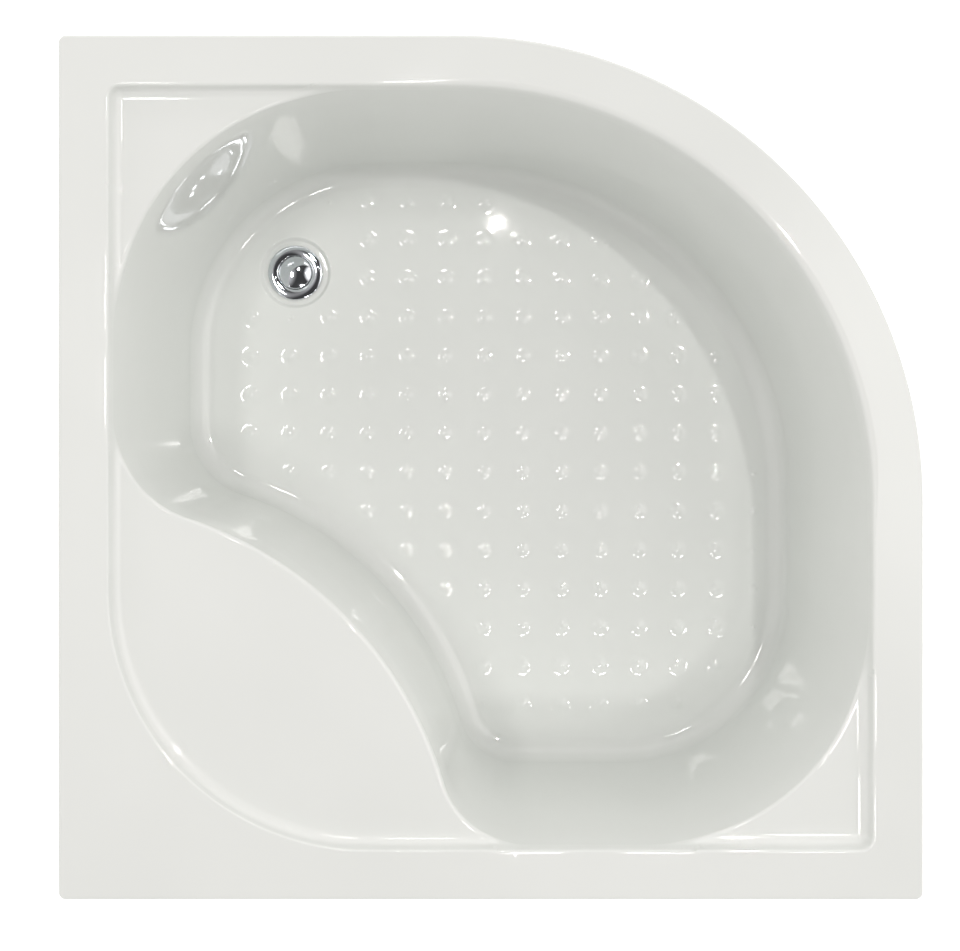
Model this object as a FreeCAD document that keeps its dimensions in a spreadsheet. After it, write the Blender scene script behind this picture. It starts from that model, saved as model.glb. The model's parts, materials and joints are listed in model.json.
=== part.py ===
import FreeCAD, Part
import math
import os
from types import SimpleNamespace

import Sketcher
from FreeCAD import Placement, Rotation, Vector

# A deep quadrant shower tray on a steel frame, with its waste and front apron.
# Plan: walls at -X and -Y, round front corner at +X +Y, seat in the wall corner.
# The origin lies on the floor, under the middle of the plan. Up is +Z.

# Driving dimensions, in millimetres, with the two drafts in degrees
SIZES = {
    # Plan of the moulded sheet
    "tray_width": 900,
    "tray_length": 900,
    "tray_height": 430,
    "front_radius": 485,
    "outer_corner_radius": 8,
    "sheet_wall": 5,
    "lip_depth": 40,
    "rim_width": 49,
    "rim_rounding": 4,
    # Seat and corner shelves, one step below the rim
    "step_depth": 15,
    "step_draft": 3,
    "deck_corner_radius": 10,
    "seat_back_radius": 265,
    "ledge_width": 4.2,
    "ledge_rounding": 2,
    # Basin
    "basin_depth": 270,
    "wall_draft": 3.5,
    "floor_rounding": 40,
    "left_corner_radius": 254,
    "right_corner_radius": 228,
    "seat_radius": 417,
    "seat_end_left_radius": 110,
    "seat_end_right_radius": 88,
    # Anti-slip studs on the floor
    "stud_pitch": 50,
    "stud_radius": 7,
    "stud_height": 1.5,
    "stud_margin": 2,
    "stud_start_left": 43,
    "stud_start_back": 37,
    # Dish and waste hole
    "drain_from_left": 198,
    "drain_from_front": 204,
    "dish_radius": 49,
    "dish_depth": 4,
    # Laminate and boards
    "grp_wall": 3,
    "grp_edge_gap": 1,
    "board_thickness": 16,
    "board_margin": 1,
    "dish_clearance": 2,
    "trap_clearance": 8,
    # Steel frame
    "rail_size": 25,
    "tube_wall": 2,
    "rail_inset": 120,
    "seat_post_reach": 260,
    "tab_length": 38,
    "tab_thickness": 3,
    "tab_screw_reach": 25,
    "cap_thickness": 4,
    "cap_spigot": 15,
    "cap_clearance": 0.2,
    # Screws and bolts of the frame
    "screw_radius": 2.6,
    "screw_head_radius": 5,
    "screw_head_height": 3.5,
    "screw_length": 10,
    "bolt_radius": 4,
    "bolt_head_across": 13,
    "bolt_head_height": 5.3,
    "bolt_nut_height": 6.5,
    "bolt_spare": 3,
    "board_screw_radius": 2.1,
    "board_screw_depth": 11,
    "pilot_spare": 1,
    "hole_clearance": 0.2,
    # Feet
    "foot_inset": 85,
    "front_foot_gap": 54,
    "foot_pad_radius": 28,
    "foot_pad_height": 6,
    "foot_boss_radius": 12,
    "foot_boss_height": 12,
    "foot_socket_floor": 4,
    "foot_rod_radius": 6,
    "foot_nut_across": 19,
    "foot_nut_height": 10,
    "foot_lengthening": 20,
    "foot_rod_spare": 2,
    # Apron and what holds it
    "apron_wall": 4,
    "apron_inset": 4,
    "apron_wall_gap": 3,
    "apron_floor_gap": 12,
    "apron_top_gap": 2,
    "catch_gap": 5,
    "catch_width": 18,
    "catch_height": 30,
    "catch_low": 75,
    "catch_high": 60,
    "strike_thickness": 1.8,
    "catch_clearance": 0.2,
    "bracket_thickness": 3,
    "bracket_overlap": 40,
    "bracket_screw_radius": 2,
    "bracket_screw_head_radius": 4,
    "bracket_screw_head_height": 1.6,
    "bracket_screw_length": 8,
    # Wall brackets
    "wall_bracket_height": 40,
    "wall_bracket_drop": 60,
    "wall_bracket_reach": 40,
    "wall_hole_radius": 3.5,
    # Waste flange, gaskets and trap
    "gasket_thickness": 1.5,
    "gasket_edge": 1,
    "flange_radius": 35,
    "flange_thickness": 3.5,
    "flange_rounding": 1.6,
    "spigot_radius": 24,
    "spigot_wall": 4,
    "spigot_grip": 22,
    "spigot_hole_clearance": 2,
    "thread_clearance": 0.1,
    "lower_gasket_thickness": 3,
    "trap_flange_radius": 42,
    "trap_flange_thickness": 8,
    "trap_throat_wall": 6,
    "trap_radius": 45,
    "trap_wall": 3,
    "trap_floor_gap": 24,
    "dip_tube_radius": 19,
    "dip_tube_wall": 2,
    "dip_tube_lip": 3,
    "dip_tube_bottom": 36,
    # Outlet of the trap
    "outlet_rail_gap": 2,
    "outlet_pipe_radius": 20,
    "outlet_pipe_wall": 2.2,
    "outlet_pipe_end": 150,
    "outlet_tail_step": 0.4,
    "outlet_tail_spare": 0.5,
    "outlet_neck_wall": 4,
    "outlet_neck_end": 56,
    "outlet_socket_depth": 10,
    "outlet_seal_length": 4,
    "outlet_nut_wall": 5,
    "outlet_nut_grip": 10,
    "outlet_nut_lip": 4,
    # Plug
    "plug_recess_radius": 22,
    "plug_seat_drop": 2,
    "plug_gap": 0.6,
    "plug_seal_thickness": 2,
    "plug_seal_bore": 14,
    "plug_rest_gap": 0.1,
    "plug_edge": 2,
    "plug_dome": 4,
    "stem_radius": 4,
    "stem_collar_radius": 5.6,
    "stem_collar_height": 3,
    "stem_gap": 0.2,
    "sleeve_radius": 8,
    "sleeve_bore": 6,
    "sleeve_cap": 4,
    "sleeve_collar_radius": 10.5,
    "sleeve_collar_height": 3,
    "spring_wall": 0.9,
    "spring_gap": 0.2,
    "spring_length": 14,
    "plug_travel": 8,
    "stem_stop_gap": 3,
    "spider_drop": 13,
    "spider_height": 8,
    "spider_boss_radius": 12,
    "spider_arm_width": 4,
}

doc = FreeCAD.newDocument("deep_shower_tray")
sheet = doc.addObject("Spreadsheet::Sheet", "dim")
for row, (alias, number) in enumerate(SIZES.items(), start=1):
    sheet.set(f"A{row}", alias)
    sheet.set(f"B{row}", str(number))
    sheet.setAlias(f"B{row}", alias)
doc.recompute()


class Size:
    """A size: its number, and the formula on the sheet's cells that gives it."""

    def __init__(self, value, formula):
        self.value = value
        self.formula = formula

    def __add__(self, other):
        other = as_size(other)
        return Size(self.value + other.value, f"({self.formula} + {other.formula})")

    def __sub__(self, other):
        other = as_size(other)
        return Size(self.value - other.value, f"({self.formula} - {other.formula})")

    def __mul__(self, other):
        other = as_size(other)
        return Size(self.value * other.value, f"({self.formula} * {other.formula})")

    def __truediv__(self, other):
        other = as_size(other)
        return Size(self.value / other.value, f"({self.formula} / {other.formula})")

    def __neg__(self):
        return Size(-self.value, f"(-1 * {self.formula})")


def as_size(number):
    """A plain number as a size."""
    return number if isinstance(number, Size) else Size(float(number), str(float(number)))


def tangent(angle):
    return Size(math.tan(math.radians(angle.value)), f"tan({angle.formula})")


def root(area):
    return Size(math.sqrt(area.value), f"sqrt({area.formula})")


def bind(thing, **sizes):
    """Tie properties of a document object to formulas on the sheet."""
    for name, size in sizes.items():
        thing.setExpression(name, as_size(size).formula)


d = SimpleNamespace(**{alias: Size(float(sheet.get(alias)), f"dim.{alias}") for alias in SIZES})
pieces = {}


def piece(label, thing):
    """Name a finished sub-part."""
    thing.Label = label
    pieces[label] = thing
    return thing


# Part solids, each placed by its own formulas

UP = Vector(0, 0, 1)
TO_LEFT_WALL = Vector(-1, 0, 0)


def place(solid, x, y, z, turn=None):
    """Place a solid, its position bound to the sheet."""
    base = [as_size(x), as_size(y), as_size(z)]
    solid.Placement = Placement(Vector(*[size.value for size in base]), turn or Rotation())
    for axis, size in zip("xyz", base):
        solid.setExpression(f"Placement.Base.{axis}", size.formula)
    return solid


def block(x, y, z, length, width, height):
    """A box, from its lowest corner."""
    solid = doc.addObject("Part::Box", "block")
    bind(solid, Length=length, Width=width, Height=height)
    return place(solid, x, y, z)


def cylinder(x, y, z, radius, height, axis=UP):
    """A cylinder, from the middle of its starting face, along an axis."""
    solid = doc.addObject("Part::Cylinder", "cylinder")
    bind(solid, Radius=radius, Height=height)
    return place(solid, x, y, z, Rotation(UP, axis))


def prism(x, y, z, sides, across, height, angle=0):
    """A square or hexagonal bar on its own axis, one pair of flats facing the angle."""
    solid = doc.addObject("Part::Prism", "prism")
    solid.Polygon = sides
    half_sector = 180 / sides
    bind(solid, Circumradius=as_size(across) / (2 * math.cos(math.radians(half_sector))), Height=height)
    return place(solid, x, y, z, Rotation(UP, angle + half_sector))


def plate(x, y, z, thickness, width, height, angle):
    """An upright plate, from the middle of its inner face, with its thickness towards an angle."""
    solid = doc.addObject("Part::Box", "plate")
    bind(solid, Length=thickness, Width=width, Height=height)
    sine = math.sin(math.radians(angle))
    cosine = math.cos(math.radians(angle))
    half = as_size(width) / 2
    return place(solid, as_size(x) + half * sine, as_size(y) - half * cosine, z, Rotation(UP, angle))


def fuse(*solids):
    result = doc.addObject("Part::MultiFuse", "fuse")
    result.Shapes = list(solids)
    result.Refine = True
    return result


def common(*solids):
    result = doc.addObject("Part::MultiCommon", "common")
    result.Shapes = list(solids)
    return result


def cut(base, *tools):
    result = doc.addObject("Part::Cut", "cut")
    result.Base = base
    result.Tool = tools[0] if len(tools) == 1 else fuse(*tools)
    return result


def group(solids):
    """Identical fasteners as one node of separate solids."""
    result = doc.addObject("Part::Compound", "group")
    result.Links = list(solids)
    return result


def ring(x, y, z, radius, bore, height, axis=UP):
    return cut(cylinder(x, y, z, radius, height, axis), cylinder(x, y, z, bore, height, axis))


# Sketches of the plan outlines, bound to the sheet

def new_sketch(body, level):
    """A horizontal sketch of a body at a level."""
    plane = next(feature for feature in body.Origin.OriginFeatures if feature.Role == "XY_Plane")
    sketch = body.newObject("Sketcher::SketchObject", "sketch")
    sketch.AttachmentSupport = (plane, [""])
    sketch.MapMode = "FlatFace"
    sketch.AttachmentOffset = Placement(Vector(0, 0, level.value), Rotation())
    sketch.setExpression("AttachmentOffset.Base.z", level.formula)
    return sketch


def add_line(sketch, start, end):
    return sketch.addGeometry(Part.LineSegment(Vector(*start, 0), Vector(*end, 0)))


def add_arc(sketch, centre, radius, start, end):
    """An arc between two angles in degrees."""
    circle = Part.Circle(Vector(*centre, 0), UP, radius)
    return sketch.addGeometry(Part.ArcOfCircle(circle, math.radians(start), math.radians(end)))


def add_circle(sketch, x, y, radius):
    """A circle with its centre and radius bound to the sheet."""
    x = as_size(x)
    y = as_size(y)
    circle = sketch.addGeometry(Part.Circle(Vector(x.value, y.value, 0), UP, radius.value))
    hold(sketch, radius, "Radius", circle)
    hold(sketch, x, "DistanceX", -1, 1, circle, 3)
    hold(sketch, y, "DistanceY", -1, 1, circle, 3)
    return circle


def hold(sketch, size, kind, *where):
    """A dimension of a sketch, bound to the sheet."""
    index = sketch.addConstraint(Sketcher.Constraint(kind, *where, size.value))
    sketch.setExpression(f"Constraints[{index}]", size.formula)


def join(sketch, kind, first, first_end, second, second_end):
    sketch.addConstraint(Sketcher.Constraint(kind, first, first_end, second, second_end))


def rounded_outline(sketch, inset, radii, wall_inset=None):
    """The tray's plan drawn in by an inset, with up to four round corners.

    The radii are those of the right, front, left and wall corners, None where the corner is sharp.
    The two wall sides can have an inset of their own.
    """
    wall_inset = wall_inset or inset
    sides = [
        ("Y", -(d.tray_length / 2 - wall_inset)),
        ("X", d.tray_width / 2 - inset),
        ("Y", d.tray_length / 2 - inset),
        ("X", -(d.tray_width / 2 - wall_inset)),
    ]
    right = sides[1][1].value
    left = sides[3][1].value
    front = sides[2][1].value
    back = sides[0][1].value
    corners = [(right, back), (right, front), (left, front), (left, back)]
    headings = [(1, 0), (0, 1), (-1, 0), (0, -1)]
    reach = [radius.value if radius else 0 for radius in radii]

    lines = []
    for side in range(4):
        before = corners[side - 1]
        after = corners[side]
        along = headings[side]
        start = [before[i] + reach[side - 1] * along[i] for i in range(2)]
        end = [after[i] - reach[side] * along[i] for i in range(2)]
        lines.append(add_line(sketch, start, end))
    for side, (axis, size) in enumerate(sides):
        sketch.addConstraint(Sketcher.Constraint("Horizontal" if axis == "Y" else "Vertical", lines[side]))
        if size.value > 0:
            hold(sketch, size, "Distance" + axis, -1, 1, lines[side], 1)
        else:
            hold(sketch, -size, "Distance" + axis, lines[side], 1, -1, 1)
    for corner, radius in enumerate(radii):
        this_line = lines[corner]
        next_line = lines[(corner + 1) % 4]
        if radius is None:
            join(sketch, "Coincident", this_line, 2, next_line, 1)
            continue
        turn = headings[(corner + 1) % 4]
        along = headings[corner]
        centre = [corners[corner][i] + reach[corner] * (turn[i] - along[i]) for i in range(2)]
        arc = add_arc(sketch, centre, radius.value, 90 * corner - 90, 90 * corner)
        join(sketch, "Tangent", this_line, 2, arc, 1)
        join(sketch, "Tangent", arc, 2, next_line, 1)
        hold(sketch, radius, "Radius", arc)
    return sketch


# Places on the plan that the outlines share

wall_x = -(d.tray_width / 2)
wall_y = -(d.tray_length / 2)
arc_x = d.tray_width / 2 - d.front_radius
arc_y = d.tray_length / 2 - d.front_radius
basin_inset = d.rim_width + d.step_depth * tangent(d.step_draft) + d.ledge_width
basin_left = wall_x + basin_inset
basin_back = wall_y + basin_inset
basin_right = d.tray_width / 2 - basin_inset
basin_front = d.tray_length / 2 - basin_inset
left_corner_x = basin_left + d.left_corner_radius
left_corner_y = basin_front - d.left_corner_radius
right_corner_x = basin_right - d.right_corner_radius
right_corner_y = basin_back + d.right_corner_radius


def seat_end_reach(radius):
    """How far along the wall, from the wall corner, a seat end's round lies."""
    hypotenuse = d.seat_radius + radius
    height = basin_inset + radius
    return root(hypotenuse * hypotenuse - height * height)


seat_end_left_x = basin_left + d.seat_end_left_radius
seat_end_left_y = wall_y + seat_end_reach(d.seat_end_left_radius)
seat_end_right_x = wall_x + seat_end_reach(d.seat_end_right_radius)
seat_end_right_y = basin_back + d.seat_end_right_radius


def bearing(x, y, from_x=wall_x, from_y=wall_y):
    """Direction in degrees from the wall corner, or another point, to a point."""
    return math.degrees(math.atan2(y.value - from_y.value, x.value - from_x.value))


def basin_outline(sketch, grow):
    """The basin's plan grown outwards: walls, three round corners and the bulge of the seat."""
    back = basin_back - grow
    right = basin_right + grow
    front = basin_front + grow
    left = basin_left - grow
    front_round = d.front_radius - basin_inset + grow
    right_round = d.right_corner_radius + grow
    left_round = d.left_corner_radius + grow
    end_left_round = d.seat_end_left_radius + grow
    end_right_round = d.seat_end_right_radius + grow
    seat_round = d.seat_radius - grow
    seat_from = bearing(seat_end_right_x, seat_end_right_y)
    seat_to = bearing(seat_end_left_x, seat_end_left_y)

    def point(x, y):
        return (x.value, y.value)

    def arc(x, y, radius, start, end):
        number = add_arc(sketch, point(x, y), radius.value, start, end)
        hold(sketch, radius, "Radius", number)
        return number

    back_line = add_line(sketch, point(seat_end_right_x, back), point(right_corner_x, back))
    right_arc = arc(right_corner_x, right_corner_y, right_round, -90, 0)
    right_line = add_line(sketch, point(right, right_corner_y), point(right, arc_y))
    front_arc = arc(arc_x, arc_y, front_round, 0, 90)
    front_line = add_line(sketch, point(arc_x, front), point(left_corner_x, front))
    left_arc = arc(left_corner_x, left_corner_y, left_round, 90, 180)
    left_line = add_line(sketch, point(left, left_corner_y), point(left, seat_end_left_y))
    end_left_arc = arc(seat_end_left_x, seat_end_left_y, end_left_round, 180, 180 + seat_to)
    seat_arc = arc(wall_x, wall_y, seat_round, seat_from, seat_to)
    end_right_arc = arc(seat_end_right_x, seat_end_right_y, end_right_round, 180 + seat_from, 270)

    loop = [back_line, right_arc, right_line, front_arc, front_line, left_arc, left_line, end_left_arc]
    for before, after in zip(loop, loop[1:]):
        join(sketch, "Tangent", before, 2, after, 1)
    join(sketch, "Tangent", end_left_arc, 2, seat_arc, 2)
    join(sketch, "Tangent", seat_arc, 1, end_right_arc, 1)
    join(sketch, "Tangent", end_right_arc, 2, back_line, 1)
    for line in (back_line, front_line):
        sketch.addConstraint(Sketcher.Constraint("Horizontal", line))
    for line in (right_line, left_line):
        sketch.addConstraint(Sketcher.Constraint("Vertical", line))
    hold(sketch, -back, "DistanceY", back_line, 1, -1, 1)
    hold(sketch, right, "DistanceX", -1, 1, right_line, 1)
    hold(sketch, front, "DistanceY", -1, 1, front_line, 1)
    hold(sketch, -left, "DistanceX", left_line, 1, -1, 1)
    hold(sketch, -wall_x, "DistanceX", seat_arc, 3, -1, 1)
    hold(sketch, -wall_y, "DistanceY", seat_arc, 3, -1, 1)
    return sketch


def basin_room(x, y):
    """How far a point of the plan lies inside the basin's edge."""
    rooms = [
        x - basin_left.value,
        basin_right.value - x,
        y - basin_back.value,
        basin_front.value - y,
        math.hypot(x - wall_x.value, y - wall_y.value) - d.seat_radius.value,
    ]
    rounds = [
        (right_corner_x, right_corner_y, d.right_corner_radius, -90, 0),
        (arc_x, arc_y, d.front_radius - basin_inset, 0, 90),
        (left_corner_x, left_corner_y, d.left_corner_radius, 90, 180),
        (seat_end_left_x, seat_end_left_y, d.seat_end_left_radius,
         180, 180 + bearing(seat_end_left_x, seat_end_left_y)),
        (seat_end_right_x, seat_end_right_y, d.seat_end_right_radius,
         180 + bearing(seat_end_right_x, seat_end_right_y), 270),
    ]
    for centre_x, centre_y, radius, start, end in rounds:
        angle = math.degrees(math.atan2(y - centre_y.value, x - centre_x.value))
        if start <= angle <= end or start <= angle + 360 <= end:
            rooms.append(radius.value - math.hypot(x - centre_x.value, y - centre_y.value))
    return min(rooms)


# Body features

def new_body():
    return doc.addObject("PartDesign::Body", "body")


def pad(body, sketch, length, down=False, draft=None):
    feature = body.newObject("PartDesign::Pad", "pad")
    feature.Profile = sketch
    feature.Reversed = down
    bind(feature, Length=length)
    if draft:
        bind(feature, TaperAngle=-draft)
    doc.recompute()
    return feature


def pocket(body, sketch, length, up=False, draft=None):
    before = body.Tip.Shape.Volume
    feature = body.newObject("PartDesign::Pocket", "pocket")
    feature.Profile = sketch
    feature.Reversed = up
    bind(feature, Length=length)
    if draft:
        bind(feature, TaperAngle=-draft)
    doc.recompute()
    if not feature.Shape.Volume < before:
        raise RuntimeError("a pocket cut nothing")
    return feature


def round_edges(body, radius, chosen):
    """Round the edges of the body that a test picks."""
    base = body.Tip
    names = [f"Edge{i}" for i, edge in enumerate(base.Shape.Edges, start=1) if chosen(edge.BoundBox)]
    feature = body.newObject("PartDesign::Fillet", "fillet")
    feature.Base = (base, names)
    bind(feature, Radius=radius)
    doc.recompute()
    return feature


SNAP = 0.01


def at_level(level):
    """A test for edges that lie in a horizontal plane."""
    return lambda box: abs(box.ZMin - level.value) < SNAP and abs(box.ZMax - level.value) < SNAP


def is_upright(box):
    """A test for upright edges."""
    return box.XLength < SNAP and box.YLength < SNAP


# Levels of the sheet and of what lies under it

rim_top = d.tray_height
lip_bottom = rim_top - d.lip_depth
deck_top = rim_top - d.step_depth
floor_top = rim_top - d.basin_depth
dish_top = floor_top - d.dish_depth
dish_under = dish_top - d.sheet_wall
skin = d.sheet_wall + d.grp_wall
rim_under = rim_top - skin
deck_under = deck_top - skin
floor_under = floor_top - skin
board_under = floor_under - d.board_thickness
upper_rail_under = board_under - d.rail_size
lower_rail_under = upper_rail_under - d.rail_size
lower_rail_top = upper_rail_under

drain_x = wall_x + d.drain_from_left
drain_y = d.tray_length / 2 - d.drain_from_front
wall_run = (deck_top - floor_top) * tangent(d.wall_draft)
floor_edge = wall_run + d.floor_rounding


def deck_radii(grow):
    """Corner radii of the step round the deck: right, front, left and wall corner."""
    small = d.deck_corner_radius + grow
    return [small, d.front_radius - d.rim_width + grow, small, d.seat_back_radius + grow]


def add_pan(body, grow, deck_start, deck_bottom, floor_bottom):
    """Step and basin as one solid pan on a body, grown outwards by a thickness."""
    step = rounded_outline(new_sketch(body, deck_start), d.rim_width - grow, deck_radii(grow))
    pad(body, step, deck_start - deck_bottom, down=True, draft=d.step_draft)
    basin = basin_outline(new_sketch(body, deck_top), grow)
    pad(body, basin, deck_top - floor_bottom, down=True, draft=d.wall_draft)
    round_edges(body, d.floor_rounding + grow, at_level(floor_bottom))


def hollow_out(body, grow):
    """Cut the pan's inside, grown outwards by a thickness, out of a body."""
    hollow = new_body()
    add_pan(hollow, grow, rim_top, deck_top - grow, floor_top - grow)
    before = body.Tip.Shape.Volume
    feature = body.newObject("PartDesign::Boolean", "boolean")
    feature.Type = "Cut"
    feature.setObjects([hollow])
    doc.recompute()
    if not feature.Shape.Volume < before:
        raise RuntimeError("the hollow cut nothing")


def stud_places():
    """Grid points of the floor with room for a stud, clear of the wall's foot and of the dish."""
    needed = floor_edge.value + d.stud_radius.value + d.stud_margin.value
    dish_room = d.dish_radius.value + d.stud_radius.value + d.stud_margin.value
    columns = math.floor((d.tray_width.value - d.stud_start_left.value) / d.stud_pitch.value)
    rows = math.floor((d.tray_length.value - d.stud_start_back.value) / d.stud_pitch.value)
    places = []
    for column in range(columns + 1):
        for row in range(rows + 1):
            x = wall_x + d.stud_start_left + d.stud_pitch * column
            y = wall_y + d.stud_start_back + d.stud_pitch * row
            from_drain = math.hypot(x.value - drain_x.value, y.value - drain_y.value)
            if basin_room(x.value, y.value) > needed and from_drain > dish_room:
                places.append((x, y))
    return places


def make_shell():
    """The moulded acrylic sheet: rim, turned-down lip, seat, shelves, basin, dish and studs."""
    body = new_body()
    sharp = [None, d.front_radius, None, None]
    outline = rounded_outline(new_sketch(body, lip_bottom), as_size(0), sharp)
    pad(body, outline, d.lip_depth)
    round_edges(body, d.outer_corner_radius, lambda box: is_upright(box) and is_sharp_corner(box))
    inside = [None, d.front_radius - d.sheet_wall, None, None]
    underside = rounded_outline(new_sketch(body, lip_bottom), d.sheet_wall, inside)
    pocket(body, underside, d.lip_depth - d.sheet_wall, up=True)
    add_pan(body, d.sheet_wall, rim_top, deck_top - d.sheet_wall, floor_top - d.sheet_wall)
    bulge = new_sketch(body, floor_top - d.sheet_wall)
    add_circle(bulge, drain_x, drain_y, d.dish_radius + d.sheet_wall)
    pad(body, bulge, d.dish_depth, down=True)
    hollow_out(body, as_size(0))
    dish = new_sketch(body, floor_top)
    add_circle(dish, drain_x, drain_y, d.dish_radius)
    pocket(body, dish, d.dish_depth)
    hole = new_sketch(body, dish_top)
    add_circle(hole, drain_x, drain_y, d.spigot_radius + d.spigot_hole_clearance)
    pocket(body, hole, d.sheet_wall)
    round_edges(body, d.rim_rounding, at_level(rim_top))
    round_edges(body, d.ledge_rounding, at_level(deck_top))
    studs = new_sketch(body, floor_top)
    for x, y in stud_places():
        add_circle(studs, x, y, d.stud_radius)
    pad(body, studs, d.stud_height)
    return piece("acrylic_shell", body)


def is_sharp_corner(box):
    """Whether an upright edge is at one of the three square corners."""
    near_side_x = abs(abs(box.XMin) - d.tray_width.value / 2) < SNAP
    near_side_y = abs(abs(box.YMin) - d.tray_length.value / 2) < SNAP
    return near_side_x and near_side_y


def make_backing():
    """The laminate that stiffens the sheet from behind, with a hole round the dish."""
    body = new_body()
    edge = d.sheet_wall + d.grp_edge_gap
    sheet_under = rim_top - d.sheet_wall
    outline = rounded_outline(new_sketch(body, sheet_under), edge, [None, d.front_radius - edge, None, None])
    pad(body, outline, d.grp_wall, down=True)
    add_pan(body, skin, sheet_under, deck_under, floor_under)
    hollow_out(body, d.sheet_wall)
    hole = new_sketch(body, floor_top)
    add_circle(hole, drain_x, drain_y, grp_hole_radius)
    pocket(body, hole, floor_top - floor_under)
    return piece("grp_backing", body)


grp_hole_radius = d.dish_radius + d.sheet_wall + d.dish_clearance

# Places of the frame

half_rail = d.rail_size / 2
post_inset = d.apron_inset + d.apron_wall + d.catch_gap + half_rail
side_x = d.tray_width / 2 - post_inset
side_y = d.tray_length / 2 - post_inset
rail_x = d.tray_width / 2 - d.rail_inset
rail_y = d.tray_length / 2 - d.rail_inset
middle_x = arc_x - d.rail_size
arc_post_radius = d.front_radius - post_inset


def arc_post_reach(across, centre):
    """How far from the front arc's centre a post on the arc stands along its rail."""
    offset = across - centre
    return root(arc_post_radius * arc_post_radius - offset * offset)


arc_left_x = arc_x + arc_post_reach(rail_y, arc_y)
arc_right_y = arc_y + arc_post_reach(rail_x, arc_x)
foot_x = d.tray_width / 2 - d.foot_inset
seat_post_x = wall_x + d.seat_post_reach
seat_post_y = wall_y + d.seat_post_reach

arc_left_angle = bearing(arc_left_x, rail_y, arc_x, arc_y)
arc_right_angle = bearing(rail_x, arc_right_y, arc_x, arc_y)

# Each post: its place, its rail's top, its own top, the way its tab points, and the way it faces
POSTS = {
    "post_left_back": (-side_x, -rail_y, lower_rail_top, rim_under, (1, 0), 180),
    "post_left_front": (-side_x, rail_y, lower_rail_top, rim_under, (1, 0), 180),
    "post_right_back": (side_x, -rail_y, lower_rail_top, rim_under, (-1, 0), 0),
    "post_back": (middle_x, -side_y, board_under, rim_under, (0, 1), 270),
    "post_front": (middle_x, side_y, board_under, rim_under, (0, -1), 90),
    "post_arc_left": (arc_left_x, rail_y, lower_rail_top, rim_under, (-1, 0), arc_left_angle),
    "post_arc_right": (rail_x, arc_right_y, board_under, rim_under, (0, -1), arc_right_angle),
    "seat_post_back": (seat_post_x, -rail_y, lower_rail_top, deck_under - d.board_thickness, (1, 0), 270),
    "seat_post_left": (-rail_x, seat_post_y, board_under, deck_under - d.board_thickness, (0, 1), 180),
}
APRON_POSTS = ["post_right_back", "post_arc_right", "post_arc_left", "post_front"]

# Each foot: its place, and the underside of its rail
FEET = [
    (-foot_x, -rail_y, lower_rail_under),
    (foot_x, -rail_y, lower_rail_under),
    (-foot_x, rail_y, lower_rail_under),
    (arc_left_x - d.front_foot_gap, rail_y, lower_rail_under),
    (rail_x, arc_right_y - d.front_foot_gap, upper_rail_under),
]
CROSSINGS = [
    (-rail_x, -rail_y),
    (middle_x, -rail_y),
    (rail_x, -rail_y),
    (-rail_x, rail_y),
    (middle_x, rail_y),
]
BOARD_SCREWS = [
    (-rail_x, seat_end_left_y),
    (-rail_x, left_corner_y),
    (middle_x, left_corner_y),
    (middle_x, arc_y),
    (rail_x, right_corner_y),
    (rail_x, arc_y),
]


def tab_screw_place(name):
    """Where the screw of a post's tab stands."""
    x, y, level, top, way, angle = POSTS[name]
    return x + d.tab_screw_reach * way[0], y + d.tab_screw_reach * way[1], level


def make_boards():
    """The board under the floor, with holes for the trap and its screws, and the seat's board."""
    body = new_body()
    basin_outline_sketch = basin_outline(new_sketch(body, board_under), -(floor_edge + d.board_margin))
    pad(body, basin_outline_sketch, d.board_thickness)
    hole = new_sketch(body, floor_under)
    add_circle(hole, drain_x, drain_y, grp_hole_radius + d.trap_clearance)
    pocket(body, hole, d.board_thickness)
    pilot_radius = d.board_screw_radius + d.hole_clearance
    pilot_depth = d.board_screw_depth + d.pilot_spare
    pilots = [cylinder(x, y, board_under, pilot_radius, pilot_depth) for x, y in BOARD_SCREWS]
    piece("base_board", cut(body, *pilots))
    level = deck_under - d.board_thickness
    seat_front = cylinder(wall_x, wall_y, level, d.seat_radius - skin - d.board_margin, d.board_thickness)
    back_x = wall_x + d.rim_width + d.seat_back_radius
    back_y = wall_y + d.rim_width + d.seat_back_radius
    seat_back = cylinder(back_x, back_y, level, d.seat_back_radius - d.board_margin, d.board_thickness)
    piece("seat_board", common(seat_front, seat_back))


def make_rail(label, along, start, end, across, under):
    """A square tube along X or Y, drilled for every foot, bolt and screw that meets it."""
    inner = d.rail_size - d.tube_wall * 2
    core = half_rail - d.tube_wall
    if along == "X":
        outside = block(start, across - half_rail, under, end - start, d.rail_size, d.rail_size)
        inside = block(start, across - core, under + d.tube_wall, end - start, inner, inner)
    else:
        outside = block(across - half_rail, start, under, d.rail_size, end - start, d.rail_size)
        inside = block(across - core, start, under + d.tube_wall, inner, end - start, inner)
    is_upper = under is upper_rail_under
    holes = []

    def on_rail(x, y):
        position, offset = (x.value, y.value) if along == "X" else (y.value, x.value)
        return start.value < position < end.value and abs(offset - across.value) < SNAP

    def drill(x, y, radius, level, height):
        if on_rail(x, y):
            holes.append(cylinder(x, y, level, radius + d.hole_clearance, height))

    for x, y, rail_under in FEET:
        if rail_under is under:
            drill(x, y, d.foot_rod_radius, under, d.rail_size)
    for x, y in CROSSINGS:
        drill(x, y, d.bolt_radius, under, half_rail if is_upper else d.rail_size)
    for name in POSTS:
        x, y, level = tab_screw_place(name)
        if level is (board_under if is_upper else lower_rail_top):
            drill(x, y, d.screw_radius, under + half_rail, half_rail)
    if is_upper:
        for x, y in BOARD_SCREWS:
            drill(x, y, d.board_screw_radius, under, d.rail_size)
    piece(label, cut(outside, inside, *holes))


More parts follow.
